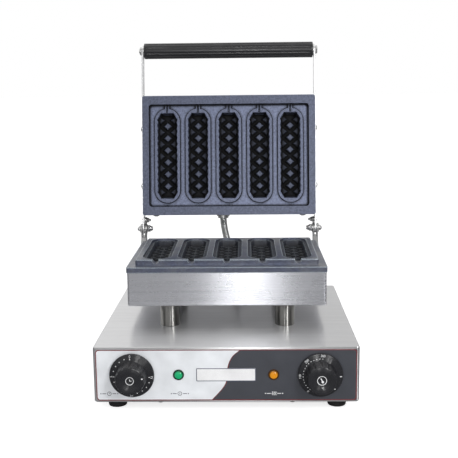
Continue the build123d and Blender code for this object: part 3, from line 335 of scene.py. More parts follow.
def between_vectors(tree, factor, first, second):
    """Two vectors mixed by a mask."""
    inputs = {0: factor, 4: first, 5: second}
    return add(tree, "ShaderNodeMix", inputs, data_type="VECTOR").outputs[1]


def noise(tree, place, scale, detail, **more):
    """A noise pattern from 0 to 1."""
    inputs = {"Vector": place, "Scale": scale, "Detail": detail, **more}
    return add(tree, "ShaderNodeTexNoise", inputs).outputs["Fac"]


def faces_sideways(tree, place):
    """A mask of the faces that look along X."""
    facing = add(tree, "ShaderNodeSeparateXYZ", {0: place.outputs["Normal"]})
    side = math_node(tree, "ABSOLUTE", facing.outputs["X"])
    return math_node(tree, "GREATER_THAN", side, 0.7)


def layered(tree, base, *layers):
    """A colour with others laid over it, each by its own mask."""
    for mask, layer in layers:
        inputs = {0: mask}
        for key, tone in ((6, base), (7, layer)):
            inputs[key] = tone if isinstance(tone, bpy.types.NodeSocket) else (*tone, 1)
        base = add(tree, "ShaderNodeMix", inputs, data_type="RGBA").outputs[2]
    return base


def dimmed(tint, part):
    """A colour made darker, or lighter where the part is above one."""
    return tuple(min(1.0, c * part) for c in tint)


# ------------------------------------------------------------------ shared node groups
def new_group(name, inputs, outputs):
    """A shader node group with named sockets, and its input and output nodes."""
    tree = bpy.data.node_groups.new(name, "ShaderNodeTree")
    for label, value in inputs.items():
        kind = "NodeSocketVector" if isinstance(value, tuple) else "NodeSocketFloat"
        made = tree.interface.new_socket(label, in_out="INPUT", socket_type=kind)
        made.default_value = value
    for label in outputs:
        kind = "NodeSocketVector" if label == "Normal" else "NodeSocketFloat"
        tree.interface.new_socket(label, in_out="OUTPUT", socket_type=kind)
    given, result = tree.nodes.new("NodeGroupInput"), tree.nodes.new("NodeGroupOutput")
    return tree, given.outputs, result


def rounded_edges():
    """Softens the look of sharp edges, and marks where they are."""
    tree, given, result = new_group(
        "Rounded edges", {"Radius": 0.4 * MM}, ("Normal", "Edge")
    )
    soft = add(tree, "ShaderNodeBevel", {"Radius": given["Radius"]}, samples=4)
    soft = soft.outputs["Normal"]
    flat = add(tree, "ShaderNodeNewGeometry").outputs["Normal"]
    same = vector_node(tree, "DOT_PRODUCT", soft, flat)
    edge = span(tree, same, 0.985, 0.86, 0.0, 1.0)
    connect(tree, result, {"Normal": soft, "Edge": edge})
    return tree


def brushed_lines():
    """Long parallel lines that brushing leaves in sheet metal."""
    tree, given, result = new_group(
        "Brushed lines",
        {"Across": (12.0, 2200.0, 2200.0), "Across On Sides": (2200.0, 12.0, 2200.0)},
        ("Shade", "Height"),
    )
    place = add(tree, "ShaderNodeTexCoord")
    on_side = faces_sideways(tree, place)
    scale = between_vectors(tree, on_side, given["Across"], given["Across On Sides"])
    spot = vector_node(tree, "MULTIPLY", place.outputs["Object"], scale)
    fine = math_node(
        tree, "MULTIPLY", noise(tree, spot, 1.0, 3.0, Roughness=0.62), 0.62
    )
    broad = math_node(tree, "MULTIPLY", noise(tree, spot, 0.17, 2.0), 0.38)
    both = math_node(tree, "ADD", fine, broad)
    shade = span(tree, both, 0.32, 0.68, 0.0, 1.0)
    connect(tree, result, {"Shade": shade, "Height": both})
    return tree


def fine_grain():
    """Fine even grain of a coating, a casting or moulded plastic."""
    tree, given, result = new_group(
        "Fine grain", {"Size": 0.5 * MM}, ("Height", "Speckle", "Cloud", "Blotch")
    )
    spot = add(tree, "ShaderNodeTexCoord").outputs["Object"]
    per_metre = math_node(tree, "DIVIDE", 1.0, given["Size"])
    fine = noise(tree, spot, per_metre, 3.0, Roughness=0.6)
    cells = add(
        tree,
        "ShaderNodeTexVoronoi",
        {"Vector": spot, "Scale": per_metre},
        feature="SMOOTH_F1",
    )
    bumps = math_node(tree, "MULTIPLY", cells.outputs["Distance"], 0.5)
    cloud = noise(tree, spot, math_node(tree, "MULTIPLY", per_metre, 0.03), 4.0)
    blotch = noise(tree, spot, math_node(tree, "MULTIPLY", per_metre, 0.28), 2.0)
    outputs = {
        "Height": math_node(tree, "ADD", fine, bumps),
        "Speckle": span(tree, fine, 0.40, 0.68, 0.0, 1.0),
        "Cloud": span(tree, cloud, 0.3, 0.7, 0.0, 1.0),
        "Blotch": span(tree, blotch, 0.3, 0.7, 0.0, 1.0),
    }
    connect(tree, result, outputs)
    return tree


def handling_marks():
    """A thin film of handling marks and dust, thicker on faces that look up."""
    tree, given, result = new_group("Handling marks", {"Amount": 0.2}, ("Dust",))
    place = add(tree, "ShaderNodeTexCoord")
    facing = add(tree, "ShaderNodeSeparateXYZ", {0: place.outputs["Normal"]})
    up = span(tree, facing.outputs["Z"], -0.2, 1.0, 0.35, 1.0)
    smear = noise(
        tree, place.outputs["Object"], 38.0, 6.0, Roughness=0.7, Distortion=0.6
    )
    patches = math_node(tree, "MULTIPLY", span(tree, smear, 0.42, 0.72, 0.0, 1.0), up)
    dust = math_node(tree, "MULTIPLY", patches, given["Amount"], clamp=True)
    connect(tree, result, {"Dust": dust})
    return tree


GROUPS = {}


def shared(tree, maker, inputs):
    """Places one of the shared node groups in a material."""
    if maker not in GROUPS:
        GROUPS[maker] = maker()
    made = tree.nodes.new("ShaderNodeGroup")
    made.node_tree = GROUPS[maker]
    connect(tree, made, inputs)
    return made.outputs


# ---------------------------------------------------------------------------- finishes
def new_finish(name, **constants):
    """An empty material: its tree and its Principled shader, with plain settings."""
    material = bpy.data.materials.new(name)
    material.use_nodes = True
    tree = material.node_tree
    tree.nodes.clear()
    shader = tree.nodes.new("ShaderNodeBsdfPrincipled")
    out = tree.nodes.new("ShaderNodeOutputMaterial")
    tree.links.new(shader.outputs["BSDF"], out.inputs["Surface"])
    for label, value in constants.items():
        shader.inputs[label.replace("_", " ")].default_value = value
    return material, tree, shader


def surface_marks(tree, size, radius, marks):
    """Grain, rounded edges and handling marks, which most finishes have."""
    return (
        shared(tree, fine_grain, {"Size": size}),
        shared(tree, rounded_edges, {"Radius": radius}),
        shared(tree, handling_marks, {"Amount": marks}),
    )


def bumped(tree, height, strength, distance, **inputs):
    """The normal of a bumpy surface."""
    inputs.update(Height=height, Strength=strength, Distance=distance)
    return add(tree, "ShaderNodeBump", inputs).outputs["Normal"]


def tangent(tree, axis):
    """The direction that runs round an axis."""
    made = add(tree, "ShaderNodeTangent", direction_type="RADIAL", axis=axis)
    return made.outputs["Tangent"]


def brushed_metal(
    name, tint, roughness, spacing, sides="Y", depth=0.09, marks=0.12, stretch=0.0
):
    """Brushed sheet or strip metal, its lines along X, or along a side's own length.

    Stretch is how far the brushing draws reflections out across its lines."""
    material, tree, shader = new_finish(name, Metallic=1.0, Anisotropic=stretch)
    if stretch:
        on_side = faces_sideways(tree, add(tree, "ShaderNodeTexCoord"))
        across_lines = between_vectors(
            tree, on_side, tangent(tree, "X"), tangent(tree, "Y")
        )
        connect(tree, shader, {"Tangent": across_lines})
    along, across = 12.0, 1.0 / spacing
    side_scale = {"Y": (across, along, across), "Z": (across, across, along)}[sides]
    lines = shared(
        tree,
        brushed_lines,
        {"Across": (along, across, across), "Across On Sides": side_scale},
    )
    edges = shared(tree, rounded_edges, {"Radius": 0.35 * MM})
    dust = shared(tree, handling_marks, {"Amount": marks})["Dust"]
    # Edges painted lighter are a painted highlight
    base = layered(
        tree,
        dimmed(tint, 0.90),
        (lines["Shade"], dimmed(tint, 1.06)),
        (edges["Edge"], dimmed(tint, 1.12)),
        (dust, dimmed(tint, 0.86)),
    )
    uneven = 0.02 if stretch else 0.05
    rough = span(
        tree, lines["Shade"], 0.0, 1.0, roughness - uneven, roughness + uneven * 1.2
    )
    rough = math_node(tree, "ADD", rough, math_node(tree, "MULTIPLY", dust, 0.5))
    normal = bumped(tree, lines["Height"], depth, 0.2 * MM, Normal=edges["Normal"])
    connect(tree, shader, {"Base Color": base, "Roughness": rough, "Normal": normal})
    return material


def turned_metal(name, tint, roughness, depth=0.03, marks=0.15):
    """Plated, polished or turned metal of bolts, nuts, posts and washers."""
    material, tree, shader = new_finish(name, Metallic=1.0)
    grain, edges, dust = surface_marks(tree, 0.25 * MM, 0.25 * MM, marks)
    # Edges painted lighter are a painted highlight
    base = layered(
        tree,
        dimmed(tint, 0.88),
        (grain["Cloud"], tint),
        (edges["Edge"], dimmed(tint, 1.15)),
        (dust["Dust"], dimmed(tint, 0.7)),
    )
    rough = span(tree, grain["Cloud"], 0.0, 1.0, roughness, roughness + 0.08)
    normal = bumped(tree, grain["Height"], depth, 0.1 * MM, Normal=edges["Normal"])
    connect(tree, shader, {"Base Color": base, "Roughness": rough, "Normal": normal})
    return material


def coated_casting(
    name,
    tint,
    roughness,
    size,
    face,
    normal,
    *,
    depth_shading,
    reach,
    hollow_shading,
    coat,
    edge_reach,
    bare,
    film,
    residue,
):
    """Non-stick coating on cast aluminium, satin and grainy, with painted light and shade.

    Depth shading is painted shade and painted light by depth: each band is a depth below
    the face where it starts, where it is full, and how much it scales the coating's colour,
    below one darker and above one lighter. It stays within a reach of X and Y. Hollow
    shading is how much darker the hollow corners are painted, lighter where it is above
    one; edge reach is how far a painted highlight, partly coating rubbed off, spreads from
    proud edges, and bare is how much lighter it is there. Film is how much dry residue, of
    that tint, lies on faces that look up."""
    material, tree, shader = new_finish(
        name,
        Specular_IOR_Level=0.6,
        Metallic=0.35,
        Coat_Weight=coat,
        Coat_Roughness=0.32,
    )
    grain, edges, dust = surface_marks(tree, size, edge_reach, film)
    place = add(tree, "ShaderNodeTexCoord")
    offset = vector_node(tree, "SUBTRACT", place.outputs["Object"], face)
    below = vector_node(tree, "DOT_PRODUCT", offset, -normal)
    axes = add(tree, "ShaderNodeSeparateXYZ", {0: offset}).outputs
    within = 1.0
    for axis, limit in reach.items():
        side = math_node(tree, "ABSOLUTE", axes[axis])
        near = span(tree, side, limit - 0.5 * MM, limit + 0.5 * MM, 1.0, 0.0)
        within = math_node(tree, "MULTIPLY", near, within)

    speckled = layered(
        tree, dimmed(tint, 0.62), (grain["Speckle"], dimmed(tint, 1.40))
    )
    blotched = layered(tree, dimmed(tint, 0.45), (grain["Blotch"], dimmed(tint, 1.6)))
    base = layered(
        tree,
        speckled,
        (0.55, blotched),
        (math_node(tree, "MULTIPLY", grain["Cloud"], 0.3), tint),
        (dust["Dust"], residue),
    )

    # Painted shade and painted light: each depth band darkens or lightens the coating
    shade = 1.0
    for start, full, dark in depth_shading:
        depth_band = span(tree, below, start, full, 0.0, 1.0)
        shade = between(tree, math_node(tree, "MULTIPLY", depth_band, within), shade, dark)
    # Painted shade: the studs at a pit's sides are darker than those down its middle
    pit_side_shade = math_node(tree, "PINGPONG", axes["X"], stick_pitch / 2)
    pit_side_shade = span(tree, pit_side_shade, 4.0 * MM, 7.5 * MM, 0.0, 1.0)
    inside = span(tree, below, 9.0 * MM, 10.5 * MM, 0.0, 0.6)
    inside = math_node(tree, "MULTIPLY", inside, within)
    pit_side_shade = math_node(tree, "MULTIPLY", pit_side_shade, inside)
    shade = math_node(tree, "MULTIPLY", shade, math_node(tree, "SUBTRACT", 1.0, pit_side_shade))
    # Painted shade in hollow corners, where little light gets in; a hollow shading above one
    # paints them lighter instead
    corners = add(tree, "ShaderNodeAmbientOcclusion", {"Distance": 4.5 * MM}, samples=8)
    open_to_light = corners.outputs["AO"]
    hollow_shade = span(tree, open_to_light, 0.95, 0.72, 1.0, hollow_shading)
    shade = math_node(tree, "MULTIPLY", shade, hollow_shade)

    # Painted highlight on proud edges, partly also coating rubbed off there; bare is how much
    # lighter it is painted
    proud = span(tree, open_to_light, 0.88, 0.98, 0.0, 0.9)
    edge_highlight = math_node(tree, "MULTIPLY", edges["Edge"], proud)
    base = layered(tree, base, (edge_highlight, dimmed(tint, bare)))
    base = add(
        tree, "ShaderNodeVectorMath", {0: base, "Scale": shade}, operation="SCALE"
    ).outputs["Vector"]
    rough = span(tree, grain["Speckle"], 0.0, 1.0, roughness - 0.05, roughness + 0.07)
    rough = between(tree, shade, 0.85, rough)
    bumps = bumped(tree, grain["Height"], 0.35, 0.12 * MM, Normal=edges["Normal"])
    connect(tree, shader, {"Base Color": base, "Roughness": rough, "Normal": bumps})
    return material


def lower_coating(plates):
    """The lower plate's coating: a lighter copy of the shared coating colour, painted shade
    just below its top and in its pits, and painted light in the pits' hollow corners.
    """
    return coated_casting(
        "coated_casting_lower",
        dimmed(plates.tint, 1.15),
        plates.roughness - 0.08,
        plates.grain,
        Vector((0, lower_middle, platform_top)),
        Vector((0, 0, 1)),
        depth_shading=[(0.6 * MM, 1.4 * MM, 0.40), (3.0 * MM, 9.0 * MM, 0.16)],
        reach={"X": 104.0 * MM, "Y": 61.0 * MM},
        hollow_shading=1.25,
        coat=0.12,
        edge_reach=1.6 * MM,
        bare=9.0,
        film=1.0,
        residue=(0.22, 0.22, 0.225),
    )


def upper_coating(plates):
    """The upper plate's coating: a lighter copy of the shared coating colour, painted shade
    in its recess line, round its bosses and in its pits, and painted light on its bosses
    and recess floor."""
    return coated_casting(
        "coated_casting_upper",
        dimmed(plates.tint, 1.34),
        plates.roughness,
        plates.grain,
        lid_place @ Vector((0, 0, lid_face)),
        lid_place.to_3x3() @ Vector((0, 0, -1)),
        depth_shading=[
            (0.5 * MM, 1.2 * MM, 0.35),
            (4.4 * MM, 5.1 * MM, 1.30),
            (5.8 * MM, 7.0 * MM, 1.75),
            (8.0 * MM, 9.0 * MM, 0.30),
            (12.6 * MM, 13.4 * MM, 0.80),
            (14.4 * MM, 16.0 * MM, 0.06),
        ],
        reach={"X": 113.0 * MM},
        hollow_shading=0.05,
        coat=0.0,
        edge_reach=0.55 * MM,
        bare=3.0,
        film=0.3,
        residue=dimmed(plates.tint, 1.54),
    )


def moulded(
    name, tint, roughness, size=0.35 * MM, depth=0.18, marks=0.2, coat=0.0, spin=0.0
):
    """Moulded plastic, rubber or lacquer with a fine skin; spin turns its sheen."""
    material, tree, shader = new_finish(
        name,
        Coat_Weight=coat,
        Coat_Roughness=0.2,
        Anisotropic=spin,
        Anisotropic_Rotation=0.25,
        Specular_IOR_Level=0.65 if spin else 0.5,
    )
    if spin:
        connect(tree, shader, {"Tangent": tangent(tree, "Y")})
    grain, edges, dust = surface_marks(tree, size, 0.3 * MM, marks)
    # Edges painted lighter are a painted highlight
    base = layered(
        tree,
        tint,
        (grain["Cloud"], dimmed(tint, 0.82)),
        (edges["Edge"], tuple(min(1.0, c * 1.25 + 0.012) for c in tint)),
        (dust["Dust"], tuple(0.55 * c + 0.09 for c in tint)),
    )
    rough = span(tree, grain["Speckle"], 0.0, 1.0, roughness - 0.04, roughness + 0.08)
    normal = bumped(tree, grain["Height"], depth, 0.08 * MM, Normal=edges["Normal"])
    connect(tree, shader, {"Base Color": base, "Roughness": rough, "Normal": normal})
    return material


def lamp_glass(name, tint, glow, node):
    """Tinted lamp plastic: its middle glows a little and its thick rim stays dark."""
    low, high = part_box(node)
    centre, radius = (low + high) / 2, (high.x - low.x) / 2
    material, tree, shader = new_finish(
        name, Transmission_Weight=0.25, IOR=1.46, Emission_Strength=glow
    )
    grain = shared(tree, fine_grain, {"Size": 0.9 * MM})
    spot = add(tree, "ShaderNodeTexCoord").outputs["Object"]
    flat = vector_node(tree, "MULTIPLY", spot, (1, 0, 1))
    reach = vector_node(tree, "DISTANCE", flat, (centre.x, 0, centre.z))
    rim = span(tree, reach, radius * 0.58, radius * 0.80, 0.0, 1.0)
    base = layered(
        tree, tint, (grain["Cloud"], dimmed(tint, 0.7)), (rim, dimmed(tint, 0.06))
    )
    rough = span(tree, grain["Speckle"], 0.0, 1.0, 0.10, 0.2)
    inputs = {"Base Color": base, "Emission Color": base, "Roughness": rough}
    connect(tree, shader, inputs)
    return material


def wool_board(name):
    """Mineral wool board: matt, fibrous, warm white."""
    material, tree, shader = new_finish(name, Roughness=0.95)
    grain = shared(tree, fine_grain, {"Size": 0.8 * MM})
    base = layered(tree, (0.52, 0.48, 0.38), (grain["Speckle"], (0.78, 0.75, 0.66)))
    normal = bumped(tree, grain["Height"], 0.9, 0.5 * MM)
    connect(tree, shader, {"Base Color": base, "Normal": normal})
    return material


def makers():
    """What makes each of the machine's finishes."""
    scene = bpy.context.scene
    sheet, plates, panel = scene.waffle_sheet, scene.waffle_plates, scene.waffle_panel
    dials, handle = scene.waffle_dials, scene.waffle_handle
    steel, rough, spacing = tuple(sheet.tint), sheet.roughness, sheet.line_spacing
    cool_steel = (steel[0] * 0.985, steel[1] * 0.995, steel[2] * 1.045)
    print_grain = 0.9 * MM
    return {
        "base_sheet": lambda: brushed_metal(
            "brushed_sheet_base", steel, rough * 0.85, spacing, stretch=1.0
        ),
        "lower_sheet": lambda: brushed_metal(
            "brushed_sheet_lower",
            cool_steel,
            rough * 0.75,
            spacing,
            depth=0.025,
            stretch=1.0,
        ),
        "lid_sheet": lambda: brushed_metal(
            "brushed_sheet_lid", steel, rough, spacing, sides="Z"
        ),
        # Painted light: the arms' steel is a lighter copy of the sheet steel, so they read
        # brighter
        "strip": lambda: brushed_metal(
            "strip_steel_lit", dimmed(steel, 1.22), 0.34, spacing, sides="Z", depth=0.02
        ),
        "floor_sheet": lambda: brushed_metal(
            "galvanised_sheet",
            (0.52, 0.53, 0.54),
            0.46,
            1.3 * MM,
            depth=0.05,
            marks=0.3,
        ),
        "lower_plate": lambda: lower_coating(plates),
        "upper_plate": lambda: upper_coating(plates),
        "bright": lambda: turned_metal("bright_steel", (0.83, 0.83, 0.835), 0.12),
        # Painted shade: the posts' steel is a much darker copy of the bright steel, standing for
        # the shade under the lower casing
        "post": lambda: turned_metal("shaded_polished_post", (0.34, 0.335, 0.32), 0.12),
        "plated": lambda: turned_metal("zinc_plated_steel", (0.66, 0.66, 0.65), 0.28),
        "fork": lambda: turned_metal("plated_bracket", (0.50, 0.50, 0.50), 0.30, 0.08),
        "hose": lambda: turned_metal("hose_metal", (0.60, 0.61, 0.60), 0.24, 0.05),
        "heater": lambda: turned_metal("heater_sheath", (0.30, 0.29, 0.27), 0.42, 0.12),
        "copper": lambda: turned_metal("copper_tube", (0.78, 0.43, 0.28), 0.24, 0.05),
        "grip": lambda: moulded("grip_plastic", tuple(handle.tint), 0.34, coat=0.25),
        "dial": lambda: moulded(
            "dial_plastic", tuple(dials.tint), 0.30, depth=0.04, marks=0.03, spin=0.9
        ),
        "gland": lambda: moulded("gland_nylon", (0.03, 0.03, 0.032), 0.45),
        "rubber": lambda: moulded(
            "foot_rubber", (0.012, 0.012, 0.013), 0.72, 0.6 * MM, 0.4, 0.4
        ),
        "dark_sheet": lambda: moulded(
            "dark_painted_sheet", (0.05, 0.05, 0.055), 0.5, 0.5 * MM
        ),
        "block": lambda: moulded("terminal_plastic", (0.70, 0.68, 0.60), 0.5),
        "film": lambda: moulded(
            "panel_film_light", tuple(panel.light_tint), 0.38, print_grain, 0.06, 0.015
        ),
        "dark_print": lambda: moulded(
            "panel_print_dark", tuple(panel.dark_tint), 0.40, print_grain, 0.06, 0.05
        ),
        "line_print": lambda: moulded(
            "panel_print_line", tuple(panel.line_tint), 0.42, print_grain, 0.05, 0.03
        ),
        "name_foil": lambda: moulded(
            "name_plate_foil", (0.95, 0.95, 0.96), 0.25, print_grain, 0.04, 0.02, 0.3
        ),
        "frame_print": lambda: moulded(
            "name_plate_frame", (0.10, 0.11, 0.17), 0.4, print_grain, 0.05, 0.03
        ),
        "grey_ink": lambda: moulded(
            "caption_ink_grey", (0.16, 0.16, 0.19), 0.45, print_grain, 0.04, 0.03
        ),
        "white_ink": lambda: moulded(
            "caption_ink_white", (0.94, 0.95, 0.97), 0.45, print_grain, 0.04, 0.03
        ),
        "green": lambda: lamp_glass(
            "green_lamp", (0.01, 0.44, 0.17), 0.35, "green_lamp_lens"
        ),
        "amber": lambda: lamp_glass(
            "amber_lamp", (0.80, 0.30, 0.01), 0.45, "amber_lamp_lens"
        ),
        "wool": lambda: wool_board("mineral_wool"),
    }


FINISHES = {}


def finish(name):
    """One of the machine's finishes, made when it is first asked for."""
    if name not in FINISHES:
        FINISHES[name] = makers()[name]()
    return FINISHES[name]


def paint(name, *nodes):
    """Gives CAD nodes a finish."""
    for node in nodes:
        owner = frame["nodes"][node]
        if not owner.material_slots:
            raise RuntimeError(f"{node} has no material slot to paint")
        for slot in owner.material_slots:
            slot.material = finish(name)


# ------------------------------------------------------------------------- mesh helpers
def turned(bm, rings, place, segments):
    """Skins a stack of rings, each (radius, height), capped at both ends.

    A radius may be a function of the angle, for hexagons, flutes and recesses."""

    def shape(verts, radius, height):
        for v in verts:
            angle = math.atan2(v.co.y, v.co.x)
            reach = radius(angle) if callable(radius) else radius
            v.co = (reach * math.cos(angle), reach * math.sin(angle), height)

    verts = bmesh.ops.create_circle(bm, segments=segments, radius=1.0)["verts"]
    edges = list({e for v in verts for e in v.link_edges})
    everything, faces = list(verts), []
    shape(verts, *rings[0])
    faces += bmesh.ops.contextual_create(bm, geom=edges)["faces"]
    for radius, height in rings[1:]:
        made = bmesh.ops.extrude_edge_only(bm, edges=edges)["geom"]
        verts = [g for g in made if isinstance(g, bmesh.types.BMVert)]
        faces += [g for g in made if isinstance(g, bmesh.types.BMFace)]
        ends = set(verts)
        edges = [g for g in made if isinstance(g, bmesh.types.BMEdge)]
        edges = [e for e in edges if all(v in ends for v in e.verts)]
        shape(verts, radius, height)
        everything += verts
    faces += bmesh.ops.contextual_create(bm, geom=edges)["faces"]
    bmesh.ops.recalc_face_normals(bm, faces=faces)
    bmesh.ops.transform(bm, matrix=place, verts=everything)


def hexagon(radius):
    """Radius of a hexagon at an angle."""
    return lambda a: radius * math.cos(math.pi / 6) / math.cos(
        a % (math.pi / 3) - math.pi / 6
    )


def cross(radius, half_width):
    """Radius of a cross-shaped screwdriver recess at an angle."""

    def reach(a):
        a = (a + math.pi / 4) % (math.pi / 2) - math.pi / 4
        return min(radius / math.cos(a), half_width / max(abs(math.sin(a)), 1e-6))

    return reach


def fluted(radius, count, groove, bite):
    """Radius of a bar with round grooves down it, at an angle."""
    centre = radius + groove - bite
    step = 2 * math.pi / count

    def reach(a):
        a = (a + step / 2) % step - step / 2
        across = centre * math.sin(a)
        if abs(across) >= groove:
            return radius
        return min(radius, centre * math.cos(a) - math.sqrt(groove**2 - across**2))

    return reach


def dome(radius, base, rise, steps=5):
    """Rings of a ball-shaped top, from its rim to just short of its middle."""
    ball = (radius**2 + rise**2) / (2 * rise)
    half = math.asin(min(1.0, radius / ball))
    if rise > radius:
        half = math.pi - half
    middle = base + rise - ball
    angles = [half * (1 - i / steps) for i in range(steps + 1)]
    return [
        (max(ball * math.sin(a), radius * 0.04), middle + ball * math.cos(a))
        for a in angles
    ]


def screw(bm, place, head, height, shank, depth):
    """A pan-head screw: its head above its place, its shank below, a cross recess."""
    rings = [(shank * 0.7, -depth), (shank, -depth + shank * 0.3), (shank, 0.0)]
    rings += [(head * 0.97, 0.0), (head, height * 0.12), (head, height * 0.45)]
    reach = head * 0.52
    top = dome(head, height * 0.45, height * 0.55)
    rings += [r for r in top if r[0] > reach * 1.15]
    rings += [
        (cross(reach, head * 0.11), height * 0.97),
        (cross(reach * 0.9, head * 0.10), height * 0.77),
        (cross(reach * 0.45, head * 0.09), height * 0.25),
    ]
    turned(bm, rings, place, 32)


def four(x, y):
    """The four corners of a rectangle round the origin."""
    return [(sx * x, sy * y) for sx in SIDES for sy in SIDES]


def four_in(low, high, inset, up="y"):
    """Four places, inset from the corners of a box's footprint or of its front."""
    bottom, top = getattr(low, up), getattr(high, up)
    return [
        (x, y)
        for x in (low.x + inset, high.x - inset)
        for y in (bottom + inset, top - inset)
    ]


def piece(name, bm, body, slot, finish_name, *replaced, smooth=40):
    """Makes an object of a finished mesh and lets it ride on its body."""
    mesh = bpy.data.meshes.new(name)
    bm.to_mesh(mesh)
    bm.free()
    mesh.materials.append(finish(finish_name))
    mesh.shade_smooth()
    mesh.set_sharp_from_angle(angle=math.radians(smooth))
    made = bpy.data.objects.new(name, mesh)
    bpy.context.scene.collection.objects.link(made)
    if body:
        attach(made, body)
    if replaced:
        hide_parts(*replaced)
    return made


def screws(name, body, look, node, places, size, depth):
    """Makes one piece of a set of like screws, in the finish that a look names."""
    bm = bmesh.new()
    for place in places:
        screw(bm, place, *size, depth)
    piece(name, bm, body, *look, node)


# -------------------------------------------------------------------------- flat prints
def flat_disc(radius, segments=20):
    """A flat round dot."""
    bm = bmesh.new()
    bmesh.ops.create_circle(bm, cap_ends=True, segments=segments, radius=radius)
    return bm


def flat_ring(outer, inner, segments=40):
    """A flat ring."""
    bm = bmesh.new()
    for radius in (outer, inner):
        bmesh.ops.create_circle(bm, segments=segments, radius=radius)
    bmesh.ops.bridge_loops(bm, edges=bm.edges[:])
    return bm


def moved(shape, x, y):
    """A flat shape moved in its own plane."""
    bmesh.ops.translate(shape, vec=(x, y, 0), verts=shape.verts[:])
    return shape


def flat_bar(width, height, x=0.0, y=0.0, lean=0.0):
    """A flat bar round its own middle, leant and then moved."""
    bm = bmesh.new()
    verts = bmesh.ops.create_grid(bm, x_segments=2, y_segments=2, size=0.5)["verts"]
    bmesh.ops.scale(bm, vec=(width, height, 1), verts=verts)
    place = shift(x, y, 0) @ Matrix.Rotation(lean, 4, "Z")
    bmesh.ops.transform(bm, matrix=place, verts=verts)
    return bm


def round_corners(bm, verts, radius, segments):
    """Rounds the corners of a flat shape."""
    bmesh.ops.bevel(
        bm,
        geom=verts,
        offset=radius,
        offset_type="OFFSET",
        affect="VERTICES",
        segments=segments,
        profile=0.5,
        material=-1,
    )


def flat_frame(width, height, radius, line):
    """A rounded rectangular line."""
    bm = bmesh.new()
    verts = bmesh.ops.create_grid(bm, x_segments=1, y_segments=1, size=0.5)["verts"]
    bmesh.ops.scale(bm, vec=(width, height, 1), verts=verts)
    round_corners(bm, bm.verts[:], radius, 8)
    ring = bmesh.ops.inset_region(
        bm,
        faces=bm.faces[:],
        thickness=line,
        use_boundary=True,
        use_even_offset=True,
    )["faces"]
    inner = [f for f in bm.faces if f not in set(ring)]
    bmesh.ops.delete(bm, geom=inner, context="FACES")
    return bm


def flat_words(words, height):
    """Plain numerals as a flat mesh."""
    line = bpy.data.curves.new("numerals", "FONT")
    line.body = words
    line.size = height * 1.35
    line.align_x, line.align_y = "CENTER", "CENTER"
    holder = bpy.data.objects.new("numerals", line)
    mesh = bpy.data.meshes.new_from_object(holder)
    bm = bmesh.new()
    bm.from_mesh(mesh)
    bpy.data.objects.remove(holder)
    bpy.data.curves.remove(line)
    bpy.data.meshes.remove(mesh)
    bmesh.ops.remove_doubles(bm, verts=bm.verts[:], dist=1e-7)
    return bm


def stamp(bm, shape, where, thickness):
    """Adds a flat shape to a print: where lays each of its points on a surface."""
    faces = shape.faces[:]
    bmesh.ops.recalc_face_normals(shape, faces=faces)
    if faces and sum(f.normal.z * f.calc_area() for f in faces) < 0:
        bmesh.ops.reverse_faces(shape, faces=faces)
    made = bmesh.ops.extrude_face_region(shape, geom=faces)["geom"]
    raised = [g for g in made if isinstance(g, bmesh.types.BMVert)]
    bmesh.ops.translate(shape, vec=(0, 0, thickness), verts=raised)
    bmesh.ops.reverse_faces(shape, faces=faces)
    for v in shape.verts:
        v.co = where(v.co)
    mesh = bpy.data.meshes.new("stamp")
    shape.to_mesh(mesh)
    shape.free()
    bm.from_mesh(mesh)
    bpy.data.meshes.remove(mesh)


def on_panel(x, z, proud=0.0):
    """Lays points on the film round a place on the front panel."""
    place = front_place(x, z, film_y - proud)
    return lambda p: place @ p


# ------------------------------------------------------------------------------- pieces
class WAFFLE_OT_sheet_metal(bpy.types.Operator):
    """Brushes the folded sheets and the strip arms"""

    bl_idname = "waffle.sheet_metal"
    bl_label = "Sheet metal"

    def execute(self, context):
        paint("base_sheet", "base_cover")
        paint("lower_sheet", "lower_casing")
        paint("lid_sheet", "upper_casing")
        paint("strip", "arm_left", "arm_right")
        paint("floor_sheet", "base_floor")
        paint("fork", "hinge_bracket_left", "hinge_bracket_right")
        return {"FINISHED"}


class WAFFLE_OT_heating_plates(bpy.types.Operator):
    """Coats the two heating plates"""

    bl_idname = "waffle.heating_plates"
    bl_label = "Heating plates"

    def execute(self, context):
        paint("lower_plate", "lower_plate")
        paint("upper_plate", "upper_plate")
        return {"FINISHED"}


class WAFFLE_OT_inner_parts(bpy.types.Operator):
    """Finishes the parts inside the casings and the base"""

    bl_idname = "waffle.inner_parts"
    bl_label = "Inner parts"

    def execute(self, context):
        paint("heater", "lower_heater", "upper_heater")
        paint("wool", "lower_insulation", "upper_insulation")
        paint("copper", "thermostat_capillary")
        paint("dark_sheet", "timer_body", "thermostat_body", "lamp_bodies")
        paint("block", "terminal_block")
        paint("plated", "lower_heater_clamp", "upper_heater_clamp")
        paint("plated", "lower_clamp_nuts", "upper_clamp_nuts")
        paint("plated", "post_nuts", "post_tie_tubes", "foot_nuts", "bracket_nuts")
        paint("plated", "control_bush_nuts", "lamp_nuts", "pivot_washers")
        paint("plated", "timer_shaft", "thermostat_shaft")
        return {"FINISHED"}


